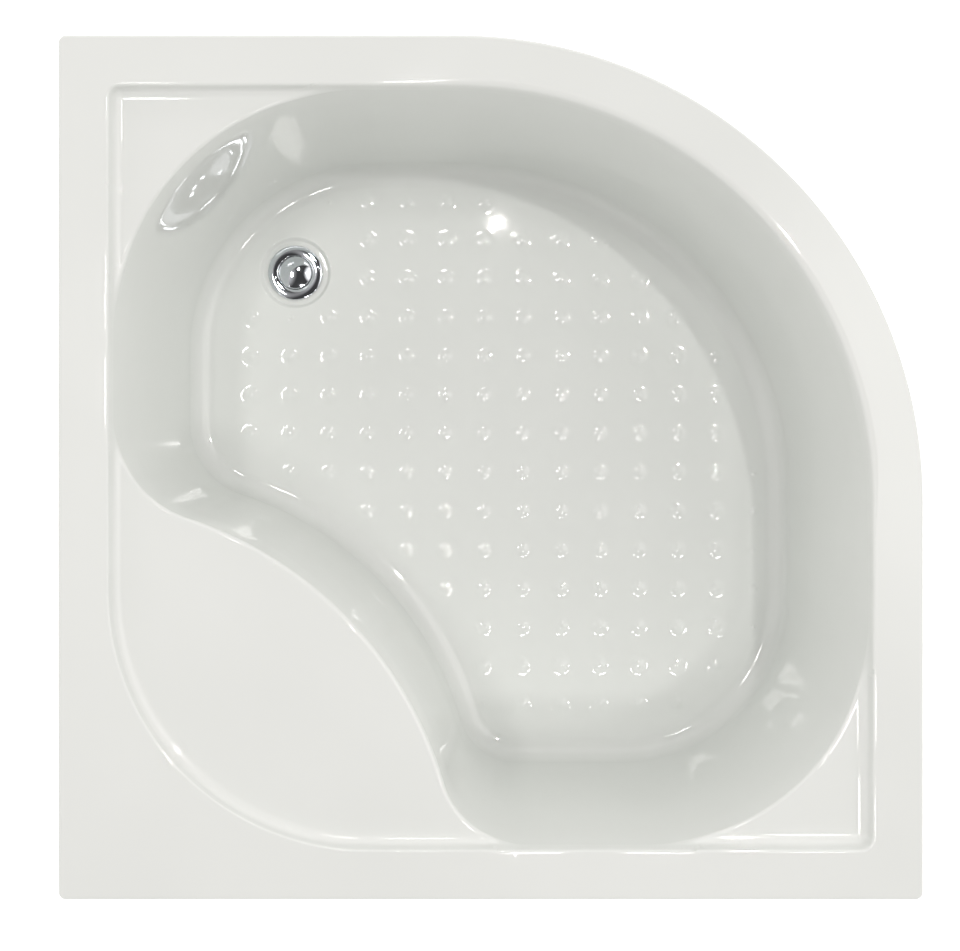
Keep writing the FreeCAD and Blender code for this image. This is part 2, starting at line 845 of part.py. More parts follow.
def make_rails():
    end_x = side_x + half_rail
    end_y = side_y + half_rail
    cross_end = rail_y + half_rail
    make_rail("lower_rail_back", "X", -end_x, end_x, -rail_y, lower_rail_under)
    make_rail("lower_rail_front", "X", -end_x, arc_left_x, rail_y, lower_rail_under)
    make_rail("upper_rail_left", "Y", -cross_end, cross_end, -rail_x, upper_rail_under)
    make_rail("upper_rail_middle", "Y", -end_y, end_y, middle_x, upper_rail_under)
    make_rail("upper_rail_right", "Y", -cross_end, arc_right_y, rail_x, upper_rail_under)


def make_posts():
    """Upright tubes with a welded tab, their plastic caps and the screws through the tabs."""
    caps = []
    screws = []
    inner = d.rail_size - d.tube_wall * 2
    for name, (x, y, level, top, way, angle) in POSTS.items():
        height = top - d.cap_thickness - level
        outside = prism(x, y, level, 4, d.rail_size, height, angle)
        tube = cut(outside, prism(x, y, level, 4, inner, height, angle))
        if way[0]:
            tab_x = x if way[0] > 0 else x - d.tab_length
            tab = block(tab_x, y - half_rail, level, d.tab_length, d.rail_size, d.tab_thickness)
        else:
            tab_y = y if way[1] > 0 else y - d.tab_length
            tab = block(x - half_rail, tab_y, level, d.rail_size, d.tab_length, d.tab_thickness)
        screw_x, screw_y, level = tab_screw_place(name)
        hole = cylinder(screw_x, screw_y, level, d.screw_radius + d.hole_clearance, d.tab_thickness)
        piece(name, cut(fuse(tube, tab), hole))

        cap_under = top - d.cap_thickness
        cap = prism(x, y, cap_under, 4, d.rail_size, d.cap_thickness, angle)
        spigot_across = inner - d.cap_clearance * 2
        spigot = prism(x, y, cap_under - d.cap_spigot, 4, spigot_across, d.cap_spigot, angle)
        caps.append(fuse(cap, spigot))

        head_under = level + d.tab_thickness
        head = cylinder(screw_x, screw_y, head_under, d.screw_head_radius, d.screw_head_height)
        shank = cylinder(screw_x, screw_y, head_under - d.screw_length, d.screw_radius, d.screw_length)
        screws.append(fuse(head, shank))
    piece("post_caps", group(caps))
    piece("post_screws", group(screws))


def make_frame_fasteners():
    """Bolts and nuts where the rails cross, and the screws up into the base board."""
    bolts = []
    nuts = []
    nut_under = upper_rail_under + d.tube_wall
    for x, y in CROSSINGS:
        head = prism(x, y, lower_rail_under - d.bolt_head_height, 6, d.bolt_head_across, d.bolt_head_height)
        reach = d.rail_size + d.tube_wall + d.bolt_nut_height + d.bolt_spare
        bolts.append(fuse(head, cylinder(x, y, lower_rail_under, d.bolt_radius, reach)))
        nut = prism(x, y, nut_under, 6, d.bolt_head_across, d.bolt_nut_height)
        bore = cylinder(x, y, nut_under, d.bolt_radius + d.thread_clearance, d.bolt_nut_height)
        nuts.append(cut(nut, bore))
    piece("crossing_bolts", group(bolts))
    piece("crossing_nuts", group(nuts))
    screws = []
    for x, y in BOARD_SCREWS:
        head_under = upper_rail_under - d.screw_head_height
        head = cylinder(x, y, head_under, d.screw_head_radius, d.screw_head_height)
        reach = d.rail_size + d.board_screw_depth
        screws.append(fuse(head, cylinder(x, y, upper_rail_under, d.board_screw_radius, reach)))
    piece("board_screws", group(screws))


def make_feet():
    """Pads and threaded rods that slide through the rails, with a nut under and over each rail."""
    nuts = []
    lock_nuts = []

    def make_nut(x, y, level):
        nut = prism(x, y, level, 6, d.foot_nut_across, d.foot_nut_height)
        return cut(nut, cylinder(x, y, level, d.foot_rod_radius + d.thread_clearance, d.foot_nut_height))

    for number, (x, y, rail_under) in enumerate(FEET, start=1):
        disc = cylinder(x, y, 0, d.foot_pad_radius, d.foot_pad_height)
        boss = cylinder(x, y, d.foot_pad_height, d.foot_boss_radius, d.foot_boss_height)
        socket_depth = d.foot_pad_height + d.foot_boss_height - d.foot_socket_floor
        socket_radius = d.foot_rod_radius + d.thread_clearance
        socket = cylinder(x, y, d.foot_socket_floor, socket_radius, socket_depth)
        piece(f"foot_pad_{number}", cut(fuse(disc, boss), socket))
        rail_top = rail_under + d.rail_size
        rod_top = rail_top + d.foot_nut_height + d.foot_lengthening + d.foot_rod_spare
        rod_length = rod_top - d.foot_socket_floor
        piece(f"foot_rod_{number}", cylinder(x, y, d.foot_socket_floor, d.foot_rod_radius, rod_length))
        nuts.append(make_nut(x, y, rail_under - d.foot_nut_height))
        lock_nuts.append(make_nut(x, y, rail_top))
    piece("adjusting_nuts", group(nuts))
    piece("lock_nuts", group(lock_nuts))


def make_apron():
    """The bent front panel: two straight runs joined by the round front corner."""
    body = new_body()
    bottom = d.apron_floor_gap
    height = lip_bottom - d.apron_top_gap - bottom
    inner = d.apron_inset + d.apron_wall
    outside = [None, d.front_radius - d.apron_inset, None, None]
    outline = rounded_outline(new_sketch(body, bottom), d.apron_inset, outside, d.apron_wall_gap)
    pad(body, outline, height)
    inside = [None, d.front_radius - inner, None, None]
    hollow = rounded_outline(new_sketch(body, bottom), inner, inside, d.apron_wall_gap - d.apron_wall)
    pocket(body, hollow, height, up=True)
    piece("apron_panel", body)


def make_catches():
    """Magnets and ledge brackets on the front posts, and the strike plates on the apron."""
    magnets = []
    strikes = []
    brackets = []
    screws = []
    magnet_thickness = d.catch_gap - d.strike_thickness - d.catch_clearance * 2
    ledge_reach = d.catch_gap + d.apron_wall
    ledge_top = d.apron_floor_gap - d.catch_clearance
    for name in APRON_POSTS:
        x, y, level, top, way, angle = POSTS[name]
        cosine = math.cos(math.radians(angle))
        sine = math.sin(math.radians(angle))
        outward = Vector(cosine, sine, 0)

        def outside(distance):
            reach = half_rail + distance
            return x + reach * cosine, y + reach * sine

        for catch_level in (level + d.catch_low, lip_bottom - d.catch_high):
            magnets.append(plate(*outside(as_size(0)), catch_level, magnet_thickness,
                                 d.catch_width, d.catch_height, angle))
            strike_face = magnet_thickness + d.catch_clearance
            strikes.append(plate(*outside(strike_face), catch_level, d.strike_thickness,
                                 d.catch_width, d.catch_height, angle))
        leg_bottom = ledge_top - d.bracket_thickness
        leg_top = level + d.bracket_overlap
        leg = plate(*outside(as_size(0)), leg_bottom, d.bracket_thickness, d.catch_width,
                    leg_top - leg_bottom, angle)
        ledge = plate(*outside(as_size(0)), leg_bottom, ledge_reach, d.catch_width,
                      d.bracket_thickness, angle)
        screw_level = level + d.bracket_overlap / 2
        hole_radius = d.bracket_screw_radius + d.hole_clearance
        hole = cylinder(*outside(as_size(0)), screw_level, hole_radius, d.bracket_thickness, outward)
        brackets.append(cut(fuse(leg, ledge), hole))
        shank_start = d.bracket_thickness - d.bracket_screw_length
        shank = cylinder(*outside(shank_start), screw_level, d.bracket_screw_radius,
                         d.bracket_screw_length, outward)
        head = cylinder(*outside(d.bracket_thickness), screw_level, d.bracket_screw_head_radius,
                        d.bracket_screw_head_height, outward)
        screws.append(fuse(shank, head))
        post_hole = cylinder(*outside(-half_rail), screw_level, hole_radius, half_rail, outward)
        drilled = cut(pieces[name], post_hole)
        pieces[name].Label = name + "_undrilled"
        piece(name, drilled)
    piece("apron_magnets", group(magnets))
    piece("apron_strikes", group(strikes))
    piece("apron_brackets", group(brackets))
    piece("bracket_screws", group(screws))


def make_wall_brackets():
    """Angle brackets from two posts to the walls, each with a hole for a wall screw."""
    level = lip_bottom - d.wall_bracket_drop
    height = d.wall_bracket_height
    thick = d.bracket_thickness
    reach = d.wall_bracket_reach
    hole_level = level + height / 2
    depth = post_inset + half_rail

    side = rail_y - half_rail
    leg = block(wall_x, side - thick, level, depth, thick, height)
    foot = block(wall_x, side - reach, level, thick, reach, height)
    hole = cylinder(wall_x, side - reach / 2, hole_level, d.wall_hole_radius, thick, Vector(1, 0, 0))
    piece("wall_bracket_left", cut(fuse(leg, foot), hole))

    side = middle_x + half_rail
    leg = block(side, wall_y, level, thick, depth, height)
    foot = block(side, wall_y, level, reach, thick, height)
    hole = cylinder(side + reach / 2, wall_y, hole_level, d.wall_hole_radius, thick, Vector(0, 1, 0))
    piece("wall_bracket_back", cut(fuse(leg, foot), hole))


# Levels of the waste, downwards from the dish

flange_under = dish_top + d.gasket_thickness
flange_top = flange_under + d.flange_thickness
plug_seat = flange_under - d.plug_seat_drop
trap_top = dish_under - d.lower_gasket_thickness
spigot_bottom = trap_top - d.spigot_grip
dip_lip_under = spigot_bottom - d.dip_tube_lip
trap_shoulder = dip_lip_under - d.trap_throat_wall
spigot_bore = d.spigot_radius - d.spigot_wall
spider_top = flange_under - d.spider_drop
spider_under = spider_top - d.spider_height
outlet_tail_radius = d.outlet_pipe_radius - d.outlet_tail_step
outlet_level = upper_rail_under - d.outlet_pipe_radius - d.outlet_rail_gap


def on_axis(level, radius, height):
    """A cylinder on the waste's axis."""
    return cylinder(drain_x, drain_y, level, radius, height)


def washer(level, radius, bore, height):
    """A ring on the waste's axis."""
    return ring(drain_x, drain_y, level, radius, bore, height)


def make_flange():
    """The chrome ring with its spigot, the plug's seat and the spider that holds the plug's sleeve."""
    disc = on_axis(flange_under, d.flange_radius, d.flange_thickness)
    spigot = on_axis(spigot_bottom, d.spigot_radius, flange_under - spigot_bottom)
    recess = on_axis(plug_seat, d.plug_recess_radius, flange_top - plug_seat)
    bore = on_axis(spigot_bottom, spigot_bore, plug_seat - spigot_bottom)
    turned = cut(fuse(disc, spigot), recess, bore)
    doc.recompute()
    rounded = doc.addObject("Part::Fillet", "fillet")
    rounded.Base = turned
    rim = [i for i, edge in enumerate(turned.Shape.Edges, start=1) if at_level(flange_top)(edge.BoundBox)]
    rounded.Edges = [(i, d.flange_rounding.value, d.flange_rounding.value) for i in rim]
    boss = on_axis(spider_under, d.spider_boss_radius, d.spider_height)
    half = d.spider_arm_width / 2
    arm_reach = spigot_bore + d.spigot_wall / 2
    arm_x = block(drain_x - arm_reach, drain_y - half, spider_under, arm_reach * 2, half * 2, d.spider_height)
    arm_y = block(drain_x - half, drain_y - arm_reach, spider_under, half * 2, arm_reach * 2, d.spider_height)
    seat = on_axis(spider_under, d.sleeve_radius + d.thread_clearance, d.spider_height)
    piece("waste_flange", cut(fuse(rounded, boss, arm_x, arm_y), seat))


def make_gaskets():
    """Rubber rings above and below the sheet."""
    bore = d.spigot_radius + d.spigot_hole_clearance
    piece("flange_gasket", washer(dish_top, d.flange_radius - d.gasket_edge, bore, d.gasket_thickness))
    lower_radius = d.trap_flange_radius - d.gasket_edge
    piece("lower_gasket", washer(trap_top, lower_radius, bore, d.lower_gasket_thickness))


def make_trap():
    """Bottle trap under the tray: flange, throat, bottle and the neck of its outlet."""
    neck_radius = d.outlet_pipe_radius + d.outlet_neck_wall
    throat_radius = d.spigot_radius + d.trap_throat_wall
    flange = on_axis(trap_top - d.trap_flange_thickness, d.trap_flange_radius, d.trap_flange_thickness)
    throat = on_axis(trap_shoulder, throat_radius, trap_top - trap_shoulder)
    bottle = on_axis(d.trap_floor_gap, d.trap_radius, trap_shoulder - d.trap_floor_gap)
    neck = cylinder(drain_x, drain_y, outlet_level, neck_radius, d.outlet_neck_end, TO_LEFT_WALL)
    thread = on_axis(dip_lip_under, d.spigot_radius + d.thread_clearance, trap_top - dip_lip_under)
    passage = on_axis(trap_shoulder - d.trap_wall, d.dip_tube_radius + d.hole_clearance,
                      dip_lip_under - trap_shoulder + d.trap_wall)
    room_bottom = d.trap_floor_gap + d.trap_wall
    room = on_axis(room_bottom, d.trap_radius - d.trap_wall, trap_shoulder - d.trap_wall - room_bottom)
    channel = cylinder(drain_x, drain_y, outlet_level, d.outlet_pipe_radius - d.outlet_pipe_wall,
                       d.outlet_neck_end, TO_LEFT_WALL)
    socket = cylinder(drain_x - (d.outlet_neck_end - d.outlet_socket_depth), drain_y, outlet_level,
                      outlet_tail_radius + d.hole_clearance, d.outlet_socket_depth, TO_LEFT_WALL)
    piece("trap_body", cut(fuse(flange, throat, bottle, neck), thread, passage, room, channel, socket))

    lip = on_axis(dip_lip_under, d.spigot_radius - d.hole_clearance, d.dip_tube_lip)
    tube = on_axis(d.dip_tube_bottom, d.dip_tube_radius, dip_lip_under - d.dip_tube_bottom)
    dip_bore = d.dip_tube_radius - d.dip_tube_wall
    bore = on_axis(d.dip_tube_bottom, dip_bore, spigot_bottom - d.dip_tube_bottom)
    piece("dip_tube", cut(fuse(lip, tube), bore))


def make_outlet():
    """The outlet pipe, its seal and the nut that clamps it on the trap's neck."""
    neck_radius = d.outlet_pipe_radius + d.outlet_neck_wall
    nut_end = d.outlet_neck_end + d.outlet_seal_length + d.outlet_nut_lip

    def along(start, radius, length):
        return cylinder(drain_x - start, drain_y, outlet_level, radius, length, TO_LEFT_WALL)

    pipe_start = d.outlet_neck_end - d.outlet_socket_depth
    pipe_length = d.outlet_pipe_end - pipe_start
    pipe_bore = d.outlet_pipe_radius - d.outlet_pipe_wall
    free_start = nut_end + d.outlet_tail_spare
    tail = along(pipe_start, outlet_tail_radius, free_start - pipe_start)
    free_end = along(free_start, d.outlet_pipe_radius, d.outlet_pipe_end - free_start)
    piece("outlet_pipe", cut(fuse(tail, free_end), along(pipe_start, pipe_bore, pipe_length)))
    seal = along(d.outlet_neck_end, neck_radius, d.outlet_seal_length)
    seal_bore = along(d.outlet_neck_end, outlet_tail_radius + d.thread_clearance, d.outlet_seal_length)
    piece("outlet_seal", cut(seal, seal_bore))
    nut_start = d.outlet_neck_end - d.outlet_nut_grip
    grip_length = d.outlet_nut_grip + d.outlet_seal_length
    nut = along(nut_start, neck_radius + d.outlet_nut_wall, nut_end - nut_start)
    grip = along(nut_start, neck_radius + d.thread_clearance, grip_length)
    mouth = along(nut_start, outlet_tail_radius + d.hole_clearance, nut_end - nut_start)
    piece("outlet_nut", cut(nut, grip, mouth))


def make_plug():
    """The domed plug with its seal and stem, and the sleeve and spring that carry it."""
    radius = d.plug_recess_radius - d.plug_gap
    seal_under = plug_seat + d.plug_rest_gap
    cap_under = seal_under + d.plug_seal_thickness
    dome_under = cap_under + d.plug_edge
    ball_radius = (radius * radius + d.plug_dome * d.plug_dome) / (d.plug_dome * 2)
    ball = doc.addObject("Part::Sphere", "ball")
    bind(ball, Radius=ball_radius)
    place(ball, drain_x, drain_y, dome_under + d.plug_dome - ball_radius)
    dome = common(on_axis(dome_under, radius, d.plug_dome), ball)
    piece("plug_cap", fuse(on_axis(cap_under, radius, d.plug_edge), dome))
    piece("plug_seal", washer(seal_under, radius, d.plug_seal_bore, d.plug_seal_thickness))

    sleeve_top = spider_top + d.sleeve_collar_height
    bore_top = sleeve_top - d.sleeve_cap
    collar_top = bore_top - d.plug_travel - d.stem_stop_gap
    collar_under = collar_top - d.stem_collar_height
    spring_under = collar_under - d.spring_length
    sleeve_under = spring_under - d.sleeve_cap
    stem = on_axis(collar_under, d.stem_radius, cap_under - collar_under)
    piece("plug_stem", fuse(stem, on_axis(collar_under, d.stem_collar_radius, d.stem_collar_height)))
    tube = on_axis(sleeve_under, d.sleeve_radius, sleeve_top - sleeve_under)
    collar = on_axis(spider_top, d.sleeve_collar_radius, d.sleeve_collar_height)
    room = on_axis(spring_under, d.sleeve_bore, bore_top - spring_under)
    mouth = on_axis(bore_top, d.stem_radius + d.stem_gap, d.sleeve_cap)
    piece("plug_sleeve", cut(fuse(tube, collar), room, mouth))
    spring_radius = d.sleeve_bore - d.spring_gap
    piece("plug_spring", washer(spring_under, spring_radius, spring_radius - d.spring_wall, d.spring_length))


def main():
    make_shell()
    make_backing()
    make_boards()
    make_rails()
    make_posts()
    make_frame_fasteners()
    make_feet()
    make_apron()
    make_catches()
    make_wall_brackets()
    make_flange()
    make_gaskets()
    make_trap()
    make_outlet()
    make_plug()
    doc.recompute()
    for thing in doc.Objects:
        if "Invalid" in thing.State or "Error" in thing.State:
            raise RuntimeError(f"{thing.Label} failed: {thing.State}")
    for label, thing in pieces.items():
        if thing.Shape.isNull() or not thing.Shape.isValid() or not thing.Shape.Solids:
            raise RuntimeError(f"{label} has no valid solid")
    os.makedirs("parts", exist_ok=True)
    for label, thing in pieces.items():
        thing.Shape.exportStep(f"parts/{label}.step")
    print(len(pieces), "pieces written")


main()
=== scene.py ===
import json
import math

import bpy
import numpy as np
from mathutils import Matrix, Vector
from mathutils.geometry import delaunay_2d_cdt


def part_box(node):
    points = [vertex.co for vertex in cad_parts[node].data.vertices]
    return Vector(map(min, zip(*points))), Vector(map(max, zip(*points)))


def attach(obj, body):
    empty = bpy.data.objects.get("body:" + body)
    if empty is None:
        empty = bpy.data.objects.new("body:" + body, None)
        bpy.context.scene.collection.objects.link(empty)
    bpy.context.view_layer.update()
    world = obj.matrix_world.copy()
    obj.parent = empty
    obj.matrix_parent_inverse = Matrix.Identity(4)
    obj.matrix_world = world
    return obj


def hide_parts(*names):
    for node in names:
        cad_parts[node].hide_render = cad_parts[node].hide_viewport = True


# A deep quadrant shower tray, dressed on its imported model. Lengths are in metres.
# Walls at -X and -Y, round front corner at +X +Y, seat in the wall corner.

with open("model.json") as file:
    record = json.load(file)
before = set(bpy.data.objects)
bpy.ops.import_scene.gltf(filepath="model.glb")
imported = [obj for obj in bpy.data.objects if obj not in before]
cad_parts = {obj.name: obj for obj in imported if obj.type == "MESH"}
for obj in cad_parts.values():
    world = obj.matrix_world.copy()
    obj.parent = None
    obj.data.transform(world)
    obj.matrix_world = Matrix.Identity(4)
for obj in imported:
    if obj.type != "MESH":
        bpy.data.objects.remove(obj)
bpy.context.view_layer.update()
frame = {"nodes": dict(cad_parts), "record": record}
nodes = frame["nodes"]
node_slot = {row["node"]: row["material_slot"] for row in frame["record"]["subparts"]}

MM = 0.001
FEET = range(1, 6)

# Sizes of the moulded sheet and its laminate

_, shell_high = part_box("acrylic_shell")
HALF = shell_high.x
RIM = shell_high.z
SHEET = 5 * MM
LIP_DEPTH = 40 * MM
LIP_ROUND = 1.2 * MM
FRONT_RADIUS = 485 * MM
OUTER_CORNER = 8 * MM
OUTER_ROUND = 4 * MM
LAMINATE = 3 * MM
LAMINATE_INSET = 6 * MM
LAMINATE_HOLE = 47.3 * MM
# Sides on which the right, front, left and wall corner lie
CORNERS = ((1, -1), (1, 1), (-1, 1), (-1, -1))

STEP_INSET = 52.5 * MM
STEP_DEPTH = 15 * MM
STEP_DRAFT = math.radians(8)
STEP_TOP_ROUND = 2.5 * MM
STEP_FOOT_ROUND = 10 * MM
# Most of the step's height that its two rounds take together
STEP_ROUNDS_SHARE = 0.95
STEP_CORNER = 12 * MM
SEAT_BACK_RADIUS = 269 * MM

DECK = RIM - STEP_DEPTH
BASIN_DEPTH = 270 * MM
FLOOR = RIM - BASIN_DEPTH
BASIN_INSET = 54 * MM
WALL_DRAFT = math.radians(3.5)
FLOOR_ROUND = 26 * MM
LEFT_CORNER = 254 * MM
RIGHT_CORNER = 228 * MM
SEAT_RADIUS = 417 * MM
SEAT_END_LEFT = 110 * MM
SEAT_END_RIGHT = 88 * MM
FRONT_EDGE_ROUND = 9 * MM
SEAT_EDGE_ROUND = 5 * MM
PLAIN_EDGE_ROUND = 3.5 * MM
EDGE_BLEND = 90 * MM

DISH_RADIUS = 44 * MM
DISH_DEPTH = 4 * MM
DISH_EDGE = 6 * MM
HOLE_RADIUS = 26 * MM
drain_low, drain_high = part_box("plug_cap")
DRAIN = np.array([(drain_low.x + drain_high.x) / 2, (drain_low.y + drain_high.y) / 2])

# Points along the sheet's rounds and walls, and the spacing of points on a plan
STEP_TOP_POINTS = 6
STEP_FOOT_POINTS = 9
EDGE_POINTS = 8
WALL_POINTS = 7
FLOOR_ROUND_POINTS = 11
OUTER_ROUND_POINTS = 8
LIP_ROUND_POINTS = 4
DISH_POINTS = 11
WASTE_SIDES = 96
LEAST_ROUND_STEPS = 6
SPACING = 4.5 * MM
# Distance from a round to the ring that guards its shading
GUARD = 0.8 * MM
LEAST_ROUND = 0.3 * MM
TOUCHING = 0.001 * MM
MERGE_DISTANCE = 1e-7
# Kind of triangulation that keeps only what lies inside the loops
INSIDE_LOOPS = 1
SMOOTH_ANGLE = 40

STUD_PITCH = 50 * MM
STUD_FIRST_X = -407 * MM
STUD_FIRST_Y = -413 * MM
STUD_RADIUS = 18 * MM
STUD_HEIGHT = 2 * MM
STUD_MARGIN = 3 * GUARD
# Shares of a stud's radius at the edge of its cap and at its last ring
STUD_CAP = 0.3
STUD_TIP = 0.05
STUD_FOOT_POINTS = 7
STUD_CAP_POINTS = 5
STUD_SIDES = 22
# First and last column of the studs in each row of the grid, from the back wall to the front
STUD_ROWS = {
    2: (8, 13), 3: (8, 14), 4: (8, 15), 5: (7, 15), 6: (6, 15), 7: (5, 15), 8: (3, 15),
    9: (2, 14), 10: (2, 14), 11: (2, 14), 12: (2, 13), 13: (5, 12), 14: (5, 11), 15: (4, 8),
}


# Plans, as points with the way out at each point

def fill_lines(points, ways, spacing):
    """Adds points along the straight stretches of a closed plan."""
    all_points = []
    all_ways = []
    for here, there, way in zip(points, np.roll(points, -1, axis=0), ways):
        length = math.dist(here, there)
        if length < TOUCHING:
            continue
        steps = max(1, round(length / spacing))
        for step in range(steps):
            all_points.append(here + (there - here) * step / steps)
            all_ways.append(way)
    return np.array(all_points), np.array(all_ways)


def trace(rounds):
    """Points of a plan of rounds joined by straight lines. A round that runs backwards bulges inwards."""
    points = []
    ways = []
    for centre, radius, start, end in rounds:
        bulge = 1 if end > start else -1
        count = max(LEAST_ROUND_STEPS, math.ceil(abs(math.radians(end - start)) * radius / SPACING))
        for bearing in np.radians(np.linspace(start, end, count + 1)):
            way = np.array([math.cos(bearing), math.sin(bearing)])
            points.append(np.array(centre) + radius * way)
            ways.append(bulge * way)
    return fill_lines(np.array(points), np.array(ways), SPACING)


def corner_rounds(inset, radii):
    """Rounds of the tray's plan, drawn in by an inset, at its four corners."""
    rounds = []
    for corner, ((sign_x, sign_y), radius) in enumerate(zip(CORNERS, radii)):
        reach = HALF - inset - radius
        rounds.append(((sign_x * reach, sign_y * reach), radius, 90 * corner - 90, 90 * corner))
    return rounds


def outer_plan():
    return trace(corner_rounds(0, [OUTER_CORNER, FRONT_RADIUS, OUTER_CORNER, OUTER_CORNER]))


def step_radii(depth):
    """Radii of the step's four corners, at a depth in the sheet."""
    front = FRONT_RADIUS - STEP_INSET
    return [radius + depth for radius in (STEP_CORNER, front, STEP_CORNER, SEAT_BACK_RADIUS)]


def seat_end(radius):
    """Place along the wall of a seat end's round."""
    height = BASIN_INSET + radius
    return math.sqrt((SEAT_RADIUS + radius) ** 2 - height ** 2) - HALF


def basin_plan():
    """The basin's edge at deck level, with the rounding of its top edge at each point."""
    side = HALF - BASIN_INSET
    wall_corner = (-HALF, -HALF)
    front = HALF - FRONT_RADIUS
    left_end = (-side + SEAT_END_LEFT, seat_end(SEAT_END_LEFT))
    right_end = (seat_end(SEAT_END_RIGHT), -side + SEAT_END_RIGHT)
    seat_to = math.degrees(math.atan2(left_end[1] + HALF, left_end[0] + HALF))
    seat_from = math.degrees(math.atan2(right_end[1] + HALF, right_end[0] + HALF))
    rounds = [
        ((side - RIGHT_CORNER, RIGHT_CORNER - side), RIGHT_CORNER, -90, 0),
        ((front, front), FRONT_RADIUS - BASIN_INSET, 0, 90),
        ((LEFT_CORNER - side, side - LEFT_CORNER), LEFT_CORNER, 90, 180),
        (left_end, SEAT_END_LEFT, 180, 180 + seat_to),
        (wall_corner, SEAT_RADIUS, seat_to, seat_from),
        (right_end, SEAT_END_RIGHT, 180 + seat_from, 270),
    ]
    points, ways = trace(rounds)
    on_front = np.minimum(points[:, 0], points[:, 1]) > front
    on_seat = np.hypot(points[:, 0] + HALF, points[:, 1] + HALF) < SEAT_RADIUS + GUARD
    edge_round = np.where(on_front, FRONT_EDGE_ROUND, np.where(on_seat, SEAT_EDGE_ROUND, PLAIN_EDGE_ROUND))
    window = round(EDGE_BLEND / SPACING)
    padded = np.concatenate([edge_round[-window:], edge_round, edge_round[:window]])
    smooth = np.convolve(padded, np.ones(window) / window, mode="same")[window:-window]
    return points, ways, smooth


def past_edge(places, points, ways):
    """How far places lie outside a plan, with the number of the nearest point of the plan."""
    gaps = np.hypot(places[:, None, 0] - points[None, :, 0], places[:, None, 1] - points[None, :, 1])
    nearest = gaps.argmin(axis=1)
    return ((places - points[nearest]) * ways[nearest]).sum(axis=1), nearest


def stud_places(points, ways):
    """Middles and radii of the studs, which are smaller beside the wall's foot and the dish."""
    grid = np.array([(STUD_FIRST_X + STUD_PITCH * column, STUD_FIRST_Y + STUD_PITCH * row)
                     for row, (first, last) in STUD_ROWS.items() for column in range(first, last + 1)])
    outside, _ = past_edge(grid, points, ways)
    from_drain = np.hypot(grid[:, 0] - DRAIN[0], grid[:, 1] - DRAIN[1])
    room = np.minimum(-outside - foot_run(0), from_drain - DISH_RADIUS - DISH_EDGE) - STUD_MARGIN
    return list(zip(grid, np.minimum(STUD_RADIUS, room)))


# Heights of the sheet's faces

def round_reach(draft):
    """Length of level face that a round of radius 1 takes, where the face meets a wall of some draft."""
    return math.tan(math.pi / 4 - draft / 2)


def step_profile(depth):
    """Offsets inwards, and drops, down the step from the rim to the deck, at a depth in the sheet."""
    reach = round_reach(STEP_DRAFT)
    lift = 1 - math.sin(STEP_DRAFT)
    top = max(STEP_TOP_ROUND - depth, LEAST_ROUND)
    foot = min(STEP_FOOT_ROUND + depth, STEP_ROUNDS_SHARE * STEP_DEPTH / lift - top)
    turns = np.linspace(math.pi / 2, STEP_DRAFT, STEP_TOP_POINTS)
    offsets = list(-top * reach + top * np.cos(turns))
    drops = list(top * (1 - np.sin(turns)))
    foot_offset = STEP_DEPTH * math.tan(STEP_DRAFT) + foot * reach
    for turn in np.linspace(STEP_DRAFT, math.pi / 2, STEP_FOOT_POINTS):
        offsets.append(foot_offset - foot * math.cos(turn))
        drops.append(STEP_DEPTH - foot * (1 - math.sin(turn)))
    return np.array(offsets), np.array(drops)


def deck_height(places, depth):
    """Height of the rim, step or deck above places of the plan, at a depth in the sheet."""
    inset = STEP_INSET - depth
    room = HALF - inset - np.abs(places).max(axis=1)
    rounds = corner_rounds(inset, step_radii(depth))
    for (sign_x, sign_y), (centre, radius, _, _) in zip(CORNERS, rounds):
        across = places - np.array(centre)
        in_corner = (sign_x * across[:, 0] > 0) & (sign_y * across[:, 1] > 0)
        room = np.where(in_corner, radius - np.hypot(across[:, 0], across[:, 1]), room)
    offsets, drops = step_profile(depth)
    return RIM - depth - np.interp(room, offsets, drops)


def with_height(places, height):
    """Points in space above places of the plan."""
    column = np.broadcast_to(height, len(places))
    return np.column_stack([places, column])


def foot_run(depth):
    """How far inside the basin's edge the floor begins."""
    foot = FLOOR_ROUND + depth
    return (DECK - FLOOR + depth) * math.tan(WALL_DRAFT) + foot * round_reach(WALL_DRAFT)


def wall_rows(plan, depth):
    """Rings of the basin from its top edge down to the floor, and how far out the first ring lies."""
    points, ways, edge_round = plan
    points = points + ways * depth
    lean = math.tan(WALL_DRAFT)
    edge = np.maximum(edge_round - depth, LEAST_ROUND)
    top = deck_height(points - ways * PLAIN_EDGE_ROUND, depth)
    start = (DECK - top) * lean - edge * round_reach(WALL_DRAFT)

    def inwards(run):
        return points - ways * np.broadcast_to(run, len(points))[:, None]

    rows = []
    for guard in (2 * GUARD, GUARD):
        places = inwards(start - guard)
        rows.append(with_height(places, deck_height(places, depth)))
    for turn in np.linspace(math.pi / 2, WALL_DRAFT, EDGE_POINTS):
        places = inwards(start + edge * math.cos(turn))
        rows.append(with_height(places, deck_height(places, depth) - edge * (1 - math.sin(turn))))
    upper = rows[-1][:, 2]
    foot = FLOOR_ROUND + depth
    floor = FLOOR - depth
    lower = floor + foot * (1 - math.sin(WALL_DRAFT))
    for share in np.linspace(0, 1, WALL_POINTS)[1:-1]:
        level = upper + (lower - upper) * share
        rows.append(with_height(inwards((DECK - level) * lean), level))
    run = foot_run(depth)
    for turn in np.linspace(WALL_DRAFT, math.pi / 2, FLOOR_ROUND_POINTS):
        rows.append(with_height(inwards(run - foot * math.cos(turn)), floor + foot * (1 - math.sin(turn))))
    rows.append(with_height(inwards(run + GUARD), floor))
    return rows, 2 * GUARD - start + depth


# Meshes, gathered ring by ring

